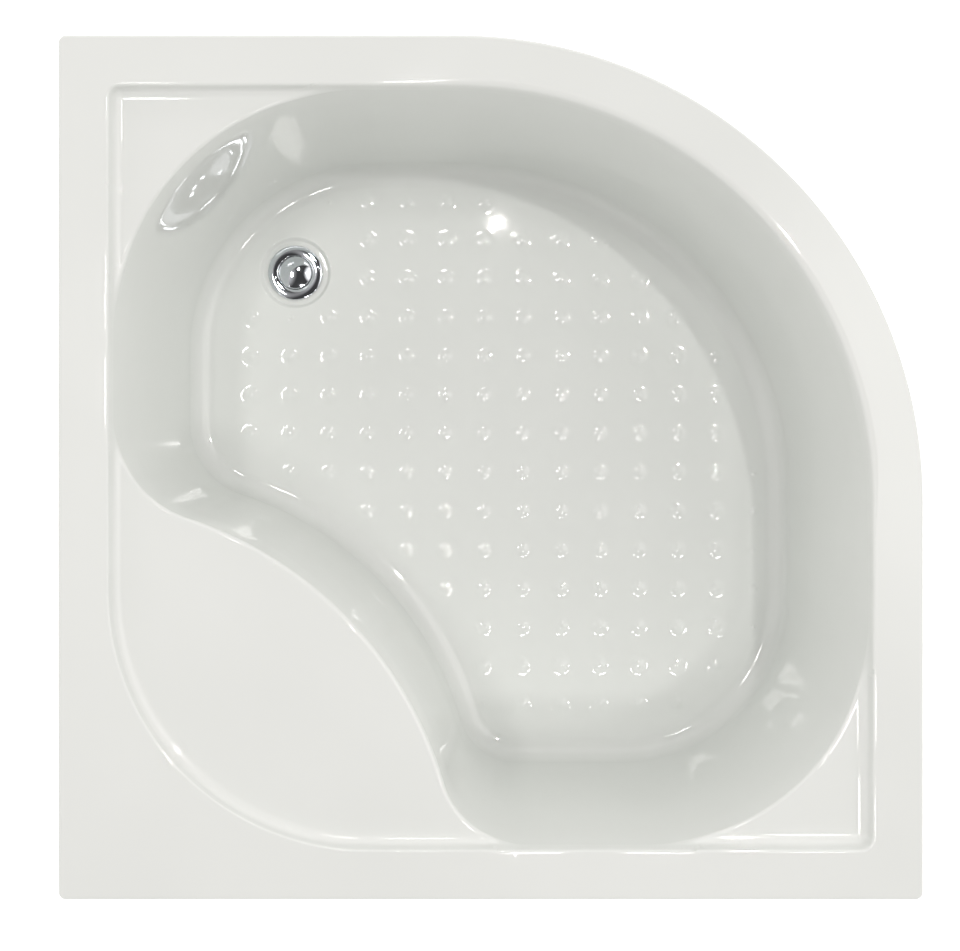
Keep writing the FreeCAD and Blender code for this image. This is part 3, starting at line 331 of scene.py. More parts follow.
class Surface:
    """Points and faces of one mesh."""

    def __init__(self):
        self.points = []
        self.faces = []

    def ring(self, points):
        """Adds points and returns their numbers."""
        first = len(self.points)
        self.points.extend(tuple(map(float, point)) for point in points)
        return list(range(first, len(self.points)))

    def band(self, upper, lower):
        """Joins two rings of as many points."""
        count = len(upper)
        for i in range(count):
            j = (i + 1) % count
            self.faces.append((upper[i], upper[j], lower[j], lower[i]))

    def bands(self, rows, turned=False):
        """Adds rings and joins each to the next, facing the other way if turned."""
        rings = [self.ring(row) for row in rows]
        for upper, lower in zip(rings, rings[1:]):
            if turned:
                self.band(lower, upper)
            else:
                self.band(upper, lower)
        return rings

    def fan(self, ring, centre):
        """Closes a ring with a point."""
        middle = self.ring([centre])[0]
        for i in range(len(ring)):
            self.faces.append((ring[i], ring[(i + 1) % len(ring)], middle))

    def infill(self, loop, holes, height, lines=(), turned=False):
        """Fills the plan between a loop and its holes, with extra lines of points at a given height."""
        known = list(loop)
        spans = []
        areas = [list(range(len(loop)))]
        for hole in holes:
            areas.append(list(range(len(known), len(known) + len(hole))))
            known.extend(hole)
        for line in lines:
            added = self.ring(with_height(line, height(line)))
            spans.extend((len(known) + i, len(known) + i + 1) for i in range(len(line) - 1))
            known.extend(added)
        plan = [Vector(self.points[i][:2]) for i in known]
        made = delaunay_2d_cdt(plan, spans, areas, INSIDE_LOOPS, MERGE_DISTANCE)
        places, _, faces, place_sources, _, face_areas = made
        number = {}
        for i, (place, sources) in enumerate(zip(places, place_sources)):
            if sources:
                number[i] = known[sources[0]]
            else:
                spot = np.array([place[:]])
                number[i] = self.ring(with_height(spot, height(spot)))[0]
        for face, within in zip(faces, face_areas):
            if list(within) == [0]:
                corners = [number[i] for i in face]
                self.faces.append(tuple(reversed(corners)) if turned else tuple(corners))

    def object(self, name, material, sharp_angle=SMOOTH_ANGLE):
        """A Blender object of the mesh, smooth but for its sharp edges."""
        mesh = bpy.data.meshes.new(name)
        mesh.from_pydata(self.points, [], self.faces)
        mesh.validate()
        mesh.shade_smooth()
        mesh.set_sharp_from_angle(angle=math.radians(sharp_angle))
        mesh.materials.append(material)
        made = bpy.data.objects.new(name, mesh)
        bpy.context.scene.collection.objects.link(made)
        return made


def circle(centre, radius, count):
    """Places round a circle."""
    bearings = np.linspace(0, 2 * math.pi, count, endpoint=False)
    return np.column_stack([centre[0] + radius * np.cos(bearings), centre[1] + radius * np.sin(bearings)])


# The sheet and its laminate

def split_runs(keep):
    """Stretches of neighbouring points that are kept, as lists of their numbers, round a closed ring."""
    count = len(keep)
    if keep.all():
        return [list(range(count)) + [0]]
    start = int(np.argmin(keep))
    runs = []
    run = []
    for i in range(start, start + count):
        if keep[i % count]:
            run.append(i % count)
        elif run:
            runs.append(run)
            run = []
    if run:
        runs.append(run)
    return [run for run in runs if len(run) > 1]


def step_lines(plan, depth, reach):
    """Lines along the step's rounds, where they lie outside the basin's edge."""
    points, ways, _ = plan
    offsets, _ = step_profile(depth)
    before = [offsets[0] - 2 * GUARD, offsets[0] - GUARD]
    after = [offsets[-1] + GUARD, offsets[-1] + 2 * GUARD]
    lines = []
    base, base_ways = trace(corner_rounds(STEP_INSET - depth, step_radii(depth)))
    for offset in [*before, *offsets, *after]:
        ring = base - base_ways * offset
        outside, nearest = past_edge(ring, points, ways)
        for run in split_runs(outside > reach[nearest] + GUARD):
            lines.append(ring[run])
    return lines


def add_skin(surface, plan, depth, outer_loop, turned, waste_ring, studs=()):
    """One face of the sheet at a depth: rim, step, deck, walls and floor, up to the ring round the waste."""
    rows, reach = wall_rows(plan, depth)
    rings = surface.bands(rows, turned)
    lines = step_lines(plan, depth, reach)
    surface.infill(outer_loop, [rings[0]], lambda places: deck_height(places, depth), lines, turned)
    stud_rings = [add_stud(surface, centre, radius) for centre, radius in studs]

    def floor_height(places):
        return np.full(len(places), FLOOR - depth)

    surface.infill(rings[-1], [waste_ring, *stud_rings], floor_height, turned=turned)


def stud_rise(share):
    """Share of a stud's height at a share of its radius: a round cap in a wide soft foot."""
    foot = (1 - STUD_CAP) / 3
    if share > STUD_CAP:
        rise = foot * ((1 - share) / (1 - STUD_CAP)) ** 3
    else:
        rise = foot + (STUD_CAP ** 2 - share ** 2) / (2 * STUD_CAP)
    return rise / (foot + STUD_CAP / 2)


def add_stud(surface, centre, radius):
    """A round-topped stud that eases into the floor, with a flat ring round it. Returns the ring."""
    top = STUD_HEIGHT * radius / STUD_RADIUS
    foot_shares = np.linspace(1, STUD_CAP, STUD_FOOT_POINTS)
    cap_shares = np.linspace(STUD_CAP, STUD_TIP, STUD_CAP_POINTS)[1:]
    rows = [with_height(circle(centre, radius + GUARD, STUD_SIDES), FLOOR)]
    for share in [*foot_shares, *cap_shares]:
        rows.append(with_height(circle(centre, radius * share, STUD_SIDES), FLOOR + top * stud_rise(share)))
    rings = surface.bands(rows)
    surface.fan(rings[-1], (centre[0], centre[1], FLOOR + top))
    return rings[0]


def dish_rows(depth):
    """Rings of the dish round the waste, from the floor to the hole."""
    floor = FLOOR - depth
    rows = [with_height(circle(DRAIN, DISH_RADIUS + DISH_EDGE / 2 + GUARD / 2, WASTE_SIDES), floor)]
    for share in np.linspace(0, 1, DISH_POINTS):
        drop = DISH_DEPTH * (0.5 - 0.5 * math.cos(math.pi * share))
        radius = DISH_RADIUS + DISH_EDGE * (0.5 - share)
        rows.append(with_height(circle(DRAIN, radius, WASTE_SIDES), floor - drop))
    rows.append(with_height(circle(DRAIN, HOLE_RADIUS + GUARD, WASTE_SIDES), floor - DISH_DEPTH))
    return rows


def make_shell(material):
    """The moulded acrylic sheet, closed on its underside."""
    surface = Surface()
    plan = basin_plan()
    outer, outer_ways = outer_plan()
    quarter = math.pi / 2
    lip_bottom = RIM - LIP_DEPTH

    def outline(inset, level):
        return with_height(outer - outer_ways * inset, level)

    rows = [outline(OUTER_ROUND + GUARD, RIM)]
    for turn in np.linspace(quarter, 0, OUTER_ROUND_POINTS):
        rows.append(outline(OUTER_ROUND * (1 - math.cos(turn)), RIM - OUTER_ROUND * (1 - math.sin(turn))))
    for turn in np.linspace(0, quarter, LIP_ROUND_POINTS):
        rows.append(outline(LIP_ROUND * (1 - math.cos(turn)), lip_bottom + LIP_ROUND * (1 - math.sin(turn))))
    for turn in np.linspace(quarter, 0, LIP_ROUND_POINTS):
        inset = SHEET - LIP_ROUND * (1 - math.cos(turn))
        rows.append(outline(inset, lip_bottom + LIP_ROUND * (1 - math.sin(turn))))
    rows.append(outline(SHEET, RIM - SHEET))
    lip_rings = surface.bands(rows, turned=True)

    hole = circle(DRAIN, HOLE_RADIUS, WASTE_SIDES)
    hole_top = with_height(hole, FLOOR - DISH_DEPTH - GUARD)
    hole_bottom = with_height(hole, FLOOR - DISH_DEPTH - SHEET)
    under_dish = dish_rows(SHEET)
    dish_rings = surface.bands([*dish_rows(0), hole_top, hole_bottom, *reversed(under_dish[:-1])])
    studs = stud_places(plan[0], plan[1])
    add_skin(surface, plan, 0, lip_rings[0], False, dish_rings[0], studs)
    add_skin(surface, plan, SHEET, lip_rings[-1], True, dish_rings[-1])
    return surface.object("shell_sheet", material)


def make_laminate(material):
    """The glass-fibre laminate on the back of the sheet."""
    surface = Surface()
    plan = basin_plan()
    outer, outer_ways = outer_plan()
    edge = outer - outer_ways * LAMINATE_INSET
    rim_rings = surface.bands([with_height(edge, RIM - depth) for depth in (SHEET + LAMINATE, SHEET)])
    hole = circle(DRAIN, LAMINATE_HOLE, WASTE_SIDES)
    hole_rings = surface.bands([with_height(hole, FLOOR - depth) for depth in (SHEET, SHEET + LAMINATE)])
    add_skin(surface, plan, SHEET, rim_rings[1], False, hole_rings[0])
    add_skin(surface, plan, SHEET + LAMINATE, rim_rings[0], True, hole_rings[1])
    return surface.object("laminate_layer", material)


# Sizes of the turned and bent pieces. Tilts, turns and sharp angles are in degrees.

APRON_WALL = 4 * MM
APRON_EDGE = 1.2 * MM
APRON_EDGE_STEPS = 4
APRON_BEND_POINTS = 97

FLANGE_RADIUS = 35 * MM
FLANGE_THICKNESS = 3.5 * MM
FLANGE_EASE = 0.4 * MM
FLANGE_EDGE = 0.8 * MM
FLANGE_EDGE_STEPS = 6
FLANGE_TILT = 16
FLANGE_FACE_POINTS = 19
SPIGOT_RADIUS = 24 * MM
SPIGOT_BORE = 20 * MM
RECESS_RADIUS = 22 * MM
PLUG_SEAT = 155.5 * MM
SPIDER_BOSS = 12 * MM
SPIDER_BORE = 8.1 * MM
SPIDER_SIDES = 64
SPIDER_TOP = 144.5 * MM
SPIDER_UNDER = 136.5 * MM
SPIDER_ARMS = 4
SPIDER_ARM_WIDTH = 4 * MM
SPIDER_OVERLAP = 1 * MM

PLUG_DOME = 4 * MM
PLUG_DOME_POINTS = 20
PLUG_EDGE = 1.2 * MM
PLUG_EDGE_STEPS = 7
PLUG_EDGE_TURN = 70
# Share of the edge's radius by which its centre lies under the foot of the dome
PLUG_EDGE_DROP = 0.2
PLUG_CHAMFER = 0.6 * MM
PLUG_DOME_GAP = 0.6 * MM
PLUG_TIP = 0.5 * MM

THREAD_PITCH = 1.75 * MM
THREAD_DEPTH = 0.9 * MM
THREAD_ROWS = 4
ROD_SIDES = 24
ROD_SHARP_ANGLE = 75
ROD_TAPER_LENGTH = 5 * MM
ROD_TAPER = 2 * MM

RAIL_SIZE = 25 * MM
RAIL_UNDER = 86 * MM
RAIL_UNDER_FIFTH = 111 * MM
NUT_HEIGHT = 10 * MM
NUT_ACROSS = 19 * MM
NUT_BORE = 6.1 * MM
NUT_SIDES = 72
NUT_SHARP_ANGLE = 30
NUT_CHAMFER = math.radians(30)
# Width of a nut's round end face as a share of the width across its flats
NUT_FACE_SHARE = 0.97
# A sixth of a full turn, in radians
SIXTH = math.pi / 3

PAD_SIDES = 120
PAD_HEIGHT = 6 * MM
PAD_EDGE = 1.6 * MM
PAD_EDGE_STEPS = 5
PAD_FACE_MARGIN = 2.4 * MM
PAD_FACE_POINTS = 12
PAD_FILLET = 2 * MM
PAD_FILLET_STEPS = 5
PAD_BOSS = 12 * MM
PAD_BOSS_EDGE = 1 * MM
PAD_BOSS_STEPS = 4
PAD_SOCKET_FLOOR = 4 * MM
PAD_RIB_HALF = 2 * MM
PAD_RIB_SIDE = 0.8 * MM
PAD_RIB_END = 3 * MM
PAD_RIB_HEIGHT = 7 * MM
PAD_RIB_GAP = 0.1 * MM


def arc(centre, radius, start, end, steps):
    """Points of a round in a section, given by its radius and level from the axis."""
    return [(centre[0] + radius * math.cos(turn), centre[1] + radius * math.sin(turn))
            for turn in np.radians(np.linspace(start, end, steps + 1))]


def box_of(node):
    """Middle of a node on plan, and its lowest and highest corners."""
    low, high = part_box(node)
    return ((low.x + high.x) / 2, (low.y + high.y) / 2), low, high


def lathe(surface, centre, section, count, closed, shape=None):
    """Turns a section, running up its outside, about an upright axis. A shape may change a ring's radii."""
    bearings = np.linspace(0, 2 * math.pi, count, endpoint=False)
    rows = []
    for radius, level in section:
        radii = np.full(count, radius) if shape is None else shape(radius, level, bearings)
        rows.append(with_height(circle(centre, radii, count), level))
    rings = surface.bands(rows)
    if closed:
        surface.band(rings[-1], rings[0])
    else:
        surface.fan(rings[-1], (*centre, section[-1][1]))
        surface.fan(list(reversed(rings[0])), (*centre, section[0][1]))


def make_apron(material):
    """The bent front panel with eased edges."""
    low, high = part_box("apron_panel")
    face = high.x
    centre = HALF - FRONT_RADIUS
    turns = np.radians(np.linspace(90, 0, APRON_BEND_POINTS))
    ways = np.column_stack([np.cos(turns), np.sin(turns)])
    bend = np.array([centre, centre]) + (face - centre) * ways
    left = [[low.x, face], [(low.x + centre) / 2, face]]
    right = [[face, (low.y + centre) / 2], [face, low.y]]
    path = np.vstack([left, bend, right])
    path_ways = np.vstack([[0, 1], [0, 1], ways, [1, 0], [1, 0]])

    outer, inner = APRON_EDGE, APRON_WALL - APRON_EDGE
    bottom, top = low.z + APRON_EDGE, high.z - APRON_EDGE
    middles = ((outer, bottom), (outer, top), (inner, top), (inner, bottom))
    section = []
    for middle, start in zip(middles, (270, 180, 90, 0)):
        section += arc(middle, APRON_EDGE, start, start - 90, APRON_EDGE_STEPS)
    surface = Surface()
    rows = []
    for place, way in zip(path, path_ways):
        rows.append([(*(place - way * inset), level) for inset, level in section])
    rings = surface.bands(rows)
    surface.faces.append(tuple(reversed(rings[0])))
    surface.faces.append(tuple(rings[-1]))
    return surface.object("apron_skin", material)


def make_flange(material):
    """The chrome ring, its spigot and the spider that holds the plug's sleeve."""
    centre, low, high = box_of("waste_flange")
    under = high.z - FLANGE_THICKNESS
    tilt = math.radians(FLANGE_TILT)
    middle = (FLANGE_RADIUS + RECESS_RADIUS) / 2
    half = (FLANGE_RADIUS - RECESS_RADIUS) / 2 - FLANGE_EDGE * (1 - math.sin(tilt))
    drop = half * math.tan(tilt) / 2
    edge = high.z - drop - FLANGE_EDGE * math.cos(tilt)
    section = [(SPIGOT_BORE, low.z), (SPIGOT_RADIUS, low.z), (SPIGOT_RADIUS, under)]
    section += [(FLANGE_RADIUS - FLANGE_EASE, under), (FLANGE_RADIUS, under + FLANGE_EASE)]
    section += arc((FLANGE_RADIUS - FLANGE_EDGE, edge), FLANGE_EDGE, 0, 90 - FLANGE_TILT, FLANGE_EDGE_STEPS)
    for share in np.linspace(1, -1, FLANGE_FACE_POINTS)[1:-1]:
        section.append((middle + half * share, high.z - drop * share ** 2))
    section += arc((RECESS_RADIUS + FLANGE_EDGE, edge), FLANGE_EDGE, 90 + FLANGE_TILT, 180, FLANGE_EDGE_STEPS)
    section += [(RECESS_RADIUS, PLUG_SEAT), (SPIGOT_BORE, PLUG_SEAT)]
    surface = Surface()
    lathe(surface, centre, section, WASTE_SIDES, True)

    boss = [(SPIDER_BORE, SPIDER_UNDER), (SPIDER_BOSS, SPIDER_UNDER),
            (SPIDER_BOSS, SPIDER_TOP), (SPIDER_BORE, SPIDER_TOP)]
    lathe(surface, centre, boss, SPIDER_SIDES, True)
    for number in range(SPIDER_ARMS):
        bearing = 2 * math.pi * number / SPIDER_ARMS
        way = np.array([math.cos(bearing), math.sin(bearing)])
        side = np.array([-way[1], way[0]]) * SPIDER_ARM_WIDTH / 2
        inner = np.array(centre) + way * (SPIDER_BOSS - SPIDER_OVERLAP)
        outer = np.array(centre) + way * (SPIGOT_BORE + SPIDER_OVERLAP)
        corners = np.array([inner - side, outer - side, outer + side, inner + side])
        arm = surface.bands([with_height(corners, level) for level in (SPIDER_UNDER, SPIDER_TOP)])
        surface.faces.append(tuple(reversed(arm[0])))
        surface.faces.append(tuple(arm[1]))
    return surface.object("flange_ring", material)


def make_plug_cap(material):
    """The domed chrome plug."""
    centre, low, high = box_of("plug_cap")
    radius = high.x - centre[0]
    ball = (radius ** 2 + PLUG_DOME ** 2) / (2 * PLUG_DOME)
    edge = (radius - PLUG_EDGE, high.z - PLUG_DOME - PLUG_EDGE * PLUG_EDGE_DROP)
    section = [(radius - PLUG_CHAMFER, low.z), (radius, low.z + PLUG_CHAMFER)]
    section += arc(edge, PLUG_EDGE, 0, PLUG_EDGE_TURN, PLUG_EDGE_STEPS)
    for reach in np.linspace(section[-1][0] - PLUG_DOME_GAP, PLUG_TIP, PLUG_DOME_POINTS):
        section.append((reach, high.z - ball + math.sqrt(ball ** 2 - reach ** 2)))
    surface = Surface()
    lathe(surface, centre, section, WASTE_SIDES, False)
    return surface.object("plug_dome", material)


def make_rod(number, material):
    """A threaded foot rod with a tapered upper end."""
    centre, low, high = box_of(f"foot_rod_{number}")
    radius = high.x - centre[0]

    def thread(outside, level, bearings):
        turn = (level / THREAD_PITCH - bearings / (2 * math.pi)) % 1
        return outside - THREAD_DEPTH * np.abs(2 * turn - 1)

    count = round((high.z - low.z - 2 * THREAD_DEPTH) / (THREAD_PITCH / THREAD_ROWS))
    levels = np.linspace(low.z + THREAD_DEPTH, high.z - THREAD_DEPTH, count)
    taper = ROD_TAPER * np.clip(1 - (high.z - levels) / ROD_TAPER_LENGTH, 0, 1)
    section = [
        (radius - THREAD_DEPTH, low.z),
        *zip(radius - taper, levels),
        (radius - ROD_TAPER - THREAD_DEPTH, high.z),
    ]
    surface = Surface()
    lathe(surface, centre, section, ROD_SIDES, False, thread)
    return surface.object(f"threaded_rod_{number}", material, ROD_SHARP_ANGLE)


def make_pad(number, material):
    """A foot pad with six ribs up to its boss and a socket for the rod."""
    centre, low, high = box_of(f"foot_pad_{number}")
    radius = high.x - centre[0]
    edge = radius - PAD_EDGE
    face = np.linspace(radius - PAD_FACE_MARGIN, PAD_BOSS + PAD_FACE_MARGIN, PAD_FACE_POINTS)
    fillet = (PAD_BOSS + PAD_FILLET, PAD_HEIGHT + PAD_FILLET)
    boss_edge = (PAD_BOSS - PAD_BOSS_EDGE, high.z - PAD_BOSS_EDGE)
    section = [(NUT_BORE, low.z), *arc((edge, low.z + PAD_EDGE), PAD_EDGE, -90, 0, PAD_EDGE_STEPS)]
    section += arc((edge, PAD_HEIGHT - PAD_EDGE), PAD_EDGE, 0, 90, PAD_EDGE_STEPS)
    section += [(reach, PAD_HEIGHT) for reach in face]
    section += arc(fillet, PAD_FILLET, 270, 180, PAD_FILLET_STEPS)
    section += arc(boss_edge, PAD_BOSS_EDGE, 0, 90, PAD_BOSS_STEPS)
    section += [(NUT_BORE, high.z), (NUT_BORE, PAD_SOCKET_FLOOR)]

    bearings = np.linspace(0, 2 * math.pi, PAD_SIDES, endpoint=False)
    off_rib = np.abs((bearings + SIXTH / 2) % SIXTH - SIXTH / 2)
    rib_end = radius - PAD_RIB_END
    rows = []
    for reach, level in section:
        rib = np.clip((PAD_RIB_HALF - reach * off_rib) / PAD_RIB_SIDE, 0, 1)
        rise = np.clip((rib_end - reach) / (rib_end - PAD_BOSS), 0, 1) * PAD_RIB_HEIGHT
        on_face = level >= PAD_HEIGHT - PAD_EDGE and reach > PAD_BOSS + PAD_RIB_GAP
        rows.append(with_height(circle(centre, reach, PAD_SIDES), level + rib * rise if on_face else level))
    surface = Surface()
    rings = surface.bands(rows)
    surface.fan(rings[-1], (*centre, PAD_SOCKET_FLOOR))
    surface.fan(list(reversed(rings[0])), (*centre, low.z))
    return surface.object(f"ribbed_pad_{number}", material)


def make_nuts(name, node, material):
    """Chamfered hexagon nuts on all the foot rods, under or over the rails."""
    corner = NUT_ACROSS / math.sqrt(3)
    face = NUT_FACE_SHARE * NUT_ACROSS / 2
    bevel = (corner - face) * math.tan(NUT_CHAMFER)

    def hexagon(outside, level, bearings):
        flats = NUT_ACROSS / 2 / np.cos(bearings % SIXTH - SIXTH / 2)
        return np.minimum(flats, outside)

    surface = Surface()
    for number in FEET:
        centre, _, _ = box_of(f"foot_rod_{number}")
        rail = RAIL_UNDER_FIFTH if number == FEET[-1] else RAIL_UNDER
        base = rail - NUT_HEIGHT if node == "adjusting_nuts" else rail + RAIL_SIZE
        top = base + NUT_HEIGHT
        section = [(NUT_BORE, base), (face, base), (corner, base + bevel),
                   (corner, top - bevel), (face, top), (NUT_BORE, top)]
        lathe(surface, centre, section, NUT_SIDES, True, hexagon)
    return surface.object(name, material, NUT_SHARP_ANGLE)


# Materials. Scales are per metre; tones are linear colours.

# Range in which most values of a noise lie
NOISE_LOW = 0.3
NOISE_HIGH = 0.7
# Stretch, and turns about X, Y and Z, of the laminate's layers of strands
STRAND_STRETCH = (26, 420, 420)
STRAND_TURNS = ((0.3, 0.2, 0.4), (1.1, 0.6, 1.3), (2.2, -0.7, 2.4), (0.5, 1.2, -0.8))
CHIP_STRETCH = (120, 340, 260)
CHIP_TURN = (0.2, 0.3, 0.7)
TURNING_STRETCH = (40, 40, 3500)


class Look:
    """A procedural material built round one shader, on lengths of the object itself."""

    def __init__(self, name, roughness, metallic=0.0):
        self.material = bpy.data.materials.new(name)
        self.material.use_nodes = True
        self.tree = self.material.node_tree
        self.shader = self.tree.nodes["Principled BSDF"]
        self.shader.inputs["Roughness"].default_value = roughness
        self.shader.inputs["Metallic"].default_value = metallic
        self.place = self.node("ShaderNodeTexCoord").outputs["Object"]

    def node(self, kind, **inputs):
        """A new node with some of its inputs set."""
        made = self.tree.nodes.new(kind)
        for name, value in inputs.items():
            made.inputs[name].default_value = value
        return made

    def link(self, source, target):
        self.tree.links.new(source, target)

    def stretched(self, scale, turn):
        """Places stretched along a direction."""
        mapping = self.node("ShaderNodeMapping", Rotation=turn, Scale=scale)
        self.link(self.place, mapping.inputs["Vector"])
        return mapping.outputs["Vector"]

    def noise(self, scale, detail=3.0, place=None):
        """A value that varies smoothly from place to place."""
        made = self.node("ShaderNodeTexNoise", Scale=scale, Detail=detail)
        self.link(place or self.place, made.inputs["Vector"])
        return made.outputs["Fac"]

    def cells(self, scale, place=None):
        """A value of its own for each cell."""
        made = self.node("ShaderNodeTexVoronoi", Scale=scale)
        self.link(place or self.place, made.inputs["Vector"])
        split = self.node("ShaderNodeSeparateColor")
        self.link(made.outputs["Color"], split.inputs["Color"])
        return split.outputs["Red"]

    def math(self, operation, first, second):
        """Two values joined by an operation. The second may be a plain number."""
        made = self.node("ShaderNodeMath")
        made.operation = operation
        self.link(first, made.inputs[0])
        if isinstance(second, float):
            made.inputs[1].default_value = second
        else:
            self.link(second, made.inputs[1])
        return made.outputs["Value"]

    def tint(self, value, dark, light, low=NOISE_LOW, high=NOISE_HIGH):
        """Base colour between two tones."""
        ramp = self.node("ShaderNodeValToRGB")
        ramp.color_ramp.elements[0].position = low
        ramp.color_ramp.elements[0].color = (*dark, 1)
        ramp.color_ramp.elements[1].position = high
        ramp.color_ramp.elements[1].color = (*light, 1)
        self.link(value, ramp.inputs["Fac"])
        self.link(ramp.outputs["Color"], self.shader.inputs["Base Color"])

    def gloss(self, value, low, high):
        """Roughness between two values."""
        ends = {"From Min": NOISE_LOW, "From Max": NOISE_HIGH, "To Min": low, "To Max": high}
        made = self.node("ShaderNodeMapRange", **ends)
        self.link(value, made.inputs["Value"])
        self.link(made.outputs["Result"], self.shader.inputs["Roughness"])

    def relief(self, value, height, strength):
        """Bumps of a height in metres."""
        bump = self.node("ShaderNodeBump", Strength=strength, Distance=height)
        self.link(value, bump.inputs["Height"])
        self.link(bump.outputs["Normal"], self.shader.inputs["Normal"])


def acrylic():
    """Glossy white sheet, faintly uneven in tone, gloss and level."""
    look = Look("white_acrylic", roughness=0.1)
    look.shader.inputs["IOR"].default_value = 1.49
    look.shader.inputs["Coat Weight"].default_value = 0.08
    look.shader.inputs["Coat Roughness"].default_value = 0.12
    look.tint(look.noise(5.0), dark=(0.795, 0.820, 0.796), light=(0.815, 0.840, 0.816))
    look.gloss(look.noise(14.0, detail=5.0), low=0.02, high=0.04)
    look.relief(look.noise(38.0, detail=1.0), height=0.25 * MM, strength=0.25)
    return look.material


def laminate():
    """Glass strands that lie in four directions, in blotched resin."""
    look = Look("laminate", roughness=0.5)
    strands = None
    for turn in STRAND_TURNS:
        layer = look.noise(1.0, detail=2.0, place=look.stretched(STRAND_STRETCH, turn))
        strands = layer if strands is None else look.math("MAXIMUM", strands, layer)
    blotches = look.noise(9.0)
    mottled = look.math("MULTIPLY", strands, look.math("ADD", blotches, 0.5))
    look.tint(mottled, dark=(0.44, 0.43, 0.33), light=(0.74, 0.73, 0.64))
    look.gloss(blotches, low=0.35, high=0.7)
    look.relief(strands, height=0.8 * MM, strength=0.8)
    return look.material


def chipboard():
    """Pressed wood chips, each of its own tone."""
    look = Look("chipboard", roughness=0.8)
    chips = look.cells(1.0, place=look.stretched(CHIP_STRETCH, CHIP_TURN))
    grainy = look.math("MULTIPLY", chips, look.math("ADD", look.noise(300.0), 0.5))
    look.tint(grainy, dark=(0.33, 0.22, 0.12), light=(0.62, 0.47, 0.29), low=0.05, high=0.85)
    look.gloss(chips, low=0.7, high=0.9)
    look.relief(chips, height=0.4 * MM, strength=0.6)
    return look.material


def grey_paint():
    """Satin paint with a fine orange-peel surface."""
    look = Look("grey_paint", roughness=0.42)
    look.tint(look.noise(16.0, detail=5.0), dark=(0.20, 0.21, 0.225), light=(0.25, 0.26, 0.275))
    look.gloss(look.noise(60.0), low=0.36, high=0.5)
    look.relief(look.noise(900.0, detail=2.0), height=0.12 * MM, strength=0.5)
    return look.material


def zinc_steel():
    """Zinc plate with its spangle."""
    look = Look("zinc_steel", roughness=0.35, metallic=1.0)
    spangle = look.cells(170.0)
    clouded = look.math("ADD", spangle, look.noise(40.0))
    look.tint(clouded, dark=(0.50, 0.52, 0.54), light=(0.70, 0.71, 0.73), low=0.3, high=1.5)
    look.gloss(spangle, low=0.25, high=0.45)
    look.relief(look.noise(500.0), height=0.05 * MM, strength=0.4)
    return look.material


def magnet():
    """Dark coated magnet."""
    look = Look("magnet", roughness=0.4, metallic=0.8)
    look.tint(look.noise(120.0), dark=(0.09, 0.09, 0.10), light=(0.17, 0.17, 0.18))
    look.gloss(look.noise(220.0), low=0.32, high=0.55)
    look.relief(look.noise(1100.0), height=0.04 * MM, strength=0.4)
    return look.material


def plastic(name, dark, light, low, high, grain):
    """Moulded plastic or rubber between two tones and two roughnesses, with a grain of some height."""
    look = Look(name, roughness=(low + high) / 2)
    look.tint(look.noise(22.0, detail=4.0), dark, light)
    look.gloss(look.noise(70.0), low, high)
    look.relief(look.noise(1300.0, detail=2.0), height=grain, strength=0.5)
    return look.material


def chrome():
    """Polished plate with faint wear."""
    look = Look("chrome_plate", roughness=0.05, metallic=1.0)
    look.tint(look.noise(60.0), dark=(0.70, 0.735, 0.78), light=(0.76, 0.79, 0.83))
    look.gloss(look.noise(90.0, detail=5.0), low=0.03, high=0.09)
    look.relief(look.noise(160.0, detail=1.0), height=0.02 * MM, strength=0.25)
    return look.material


def brass():
    """Brass with fine turning marks round an upright axis."""
    look = Look("turned_brass", roughness=0.28, metallic=1.0)
    marks = look.noise(1.0, detail=2.0, place=look.stretched(TURNING_STRETCH, (0, 0, 0)))
    look.tint(look.noise(90.0), dark=(0.62, 0.42, 0.18), light=(0.78, 0.57, 0.28))
    look.gloss(marks, low=0.2, high=0.36)
    look.relief(marks, height=0.05 * MM, strength=0.5)
    return look.material


def make_looks():
    """The material of every slot."""
    return {
        "white_acrylic": acrylic(),
        "laminate": laminate(),
        "chipboard": chipboard(),
        "grey_paint": grey_paint(),
        "zinc_steel": zinc_steel(),
        "magnet": magnet(),
        "black_plastic": plastic("black_plastic", dark=(0.014, 0.014, 0.015), light=(0.03, 0.03, 0.032),
                                 low=0.35, high=0.55, grain=0.06 * MM),
        "white_plastic": plastic("white_plastic", dark=(0.72, 0.72, 0.70), light=(0.78, 0.78, 0.765),
                                 low=0.3, high=0.45, grain=0.05 * MM),
        "black_rubber": plastic("black_rubber", dark=(0.012, 0.012, 0.012), light=(0.026, 0.025, 0.025),
                                low=0.65, high=0.85, grain=0.1 * MM),
        "chrome_plate": chrome(),
        "turned_brass": brass(),
    }


# Stage

STAGE_RADIUS = 14
STAGE_SIDES = 64
STAGE_COLOUR = (0.86, 0.86, 0.86, 1)
STAGE_ROUGHNESS = 0.8
STAGE_LIFT = 0.55
LIGHT_COLOUR = (1.0, 0.968, 0.955)
# Upward part of the directions between which the room dims, and its strength overhead
ROOM_DIMMING = (0.15, 0.8)
ROOM_OVERHEAD = 0.06
# Direction, cosines of the outer and inner edge, and strength of each soft light
SOFT_LIGHTS = [
    ((0.6, 0.1, 0.79), (0.90, 0.97), 1.6),
    ((-0.66, 0.1, 0.74), (0.78, 0.97), 0.65),
    ((0.0, 0.97, 0.25), (0.78, 0.97), 0.6),
]
LAMP_HEIGHT = 4.0
# Place on plan, size and power of each bright lamp
BRIGHT_LAMPS = [(0.058, 1.113, 0.05, 2.2), (1.13, 0.76, 0.12, 20)]
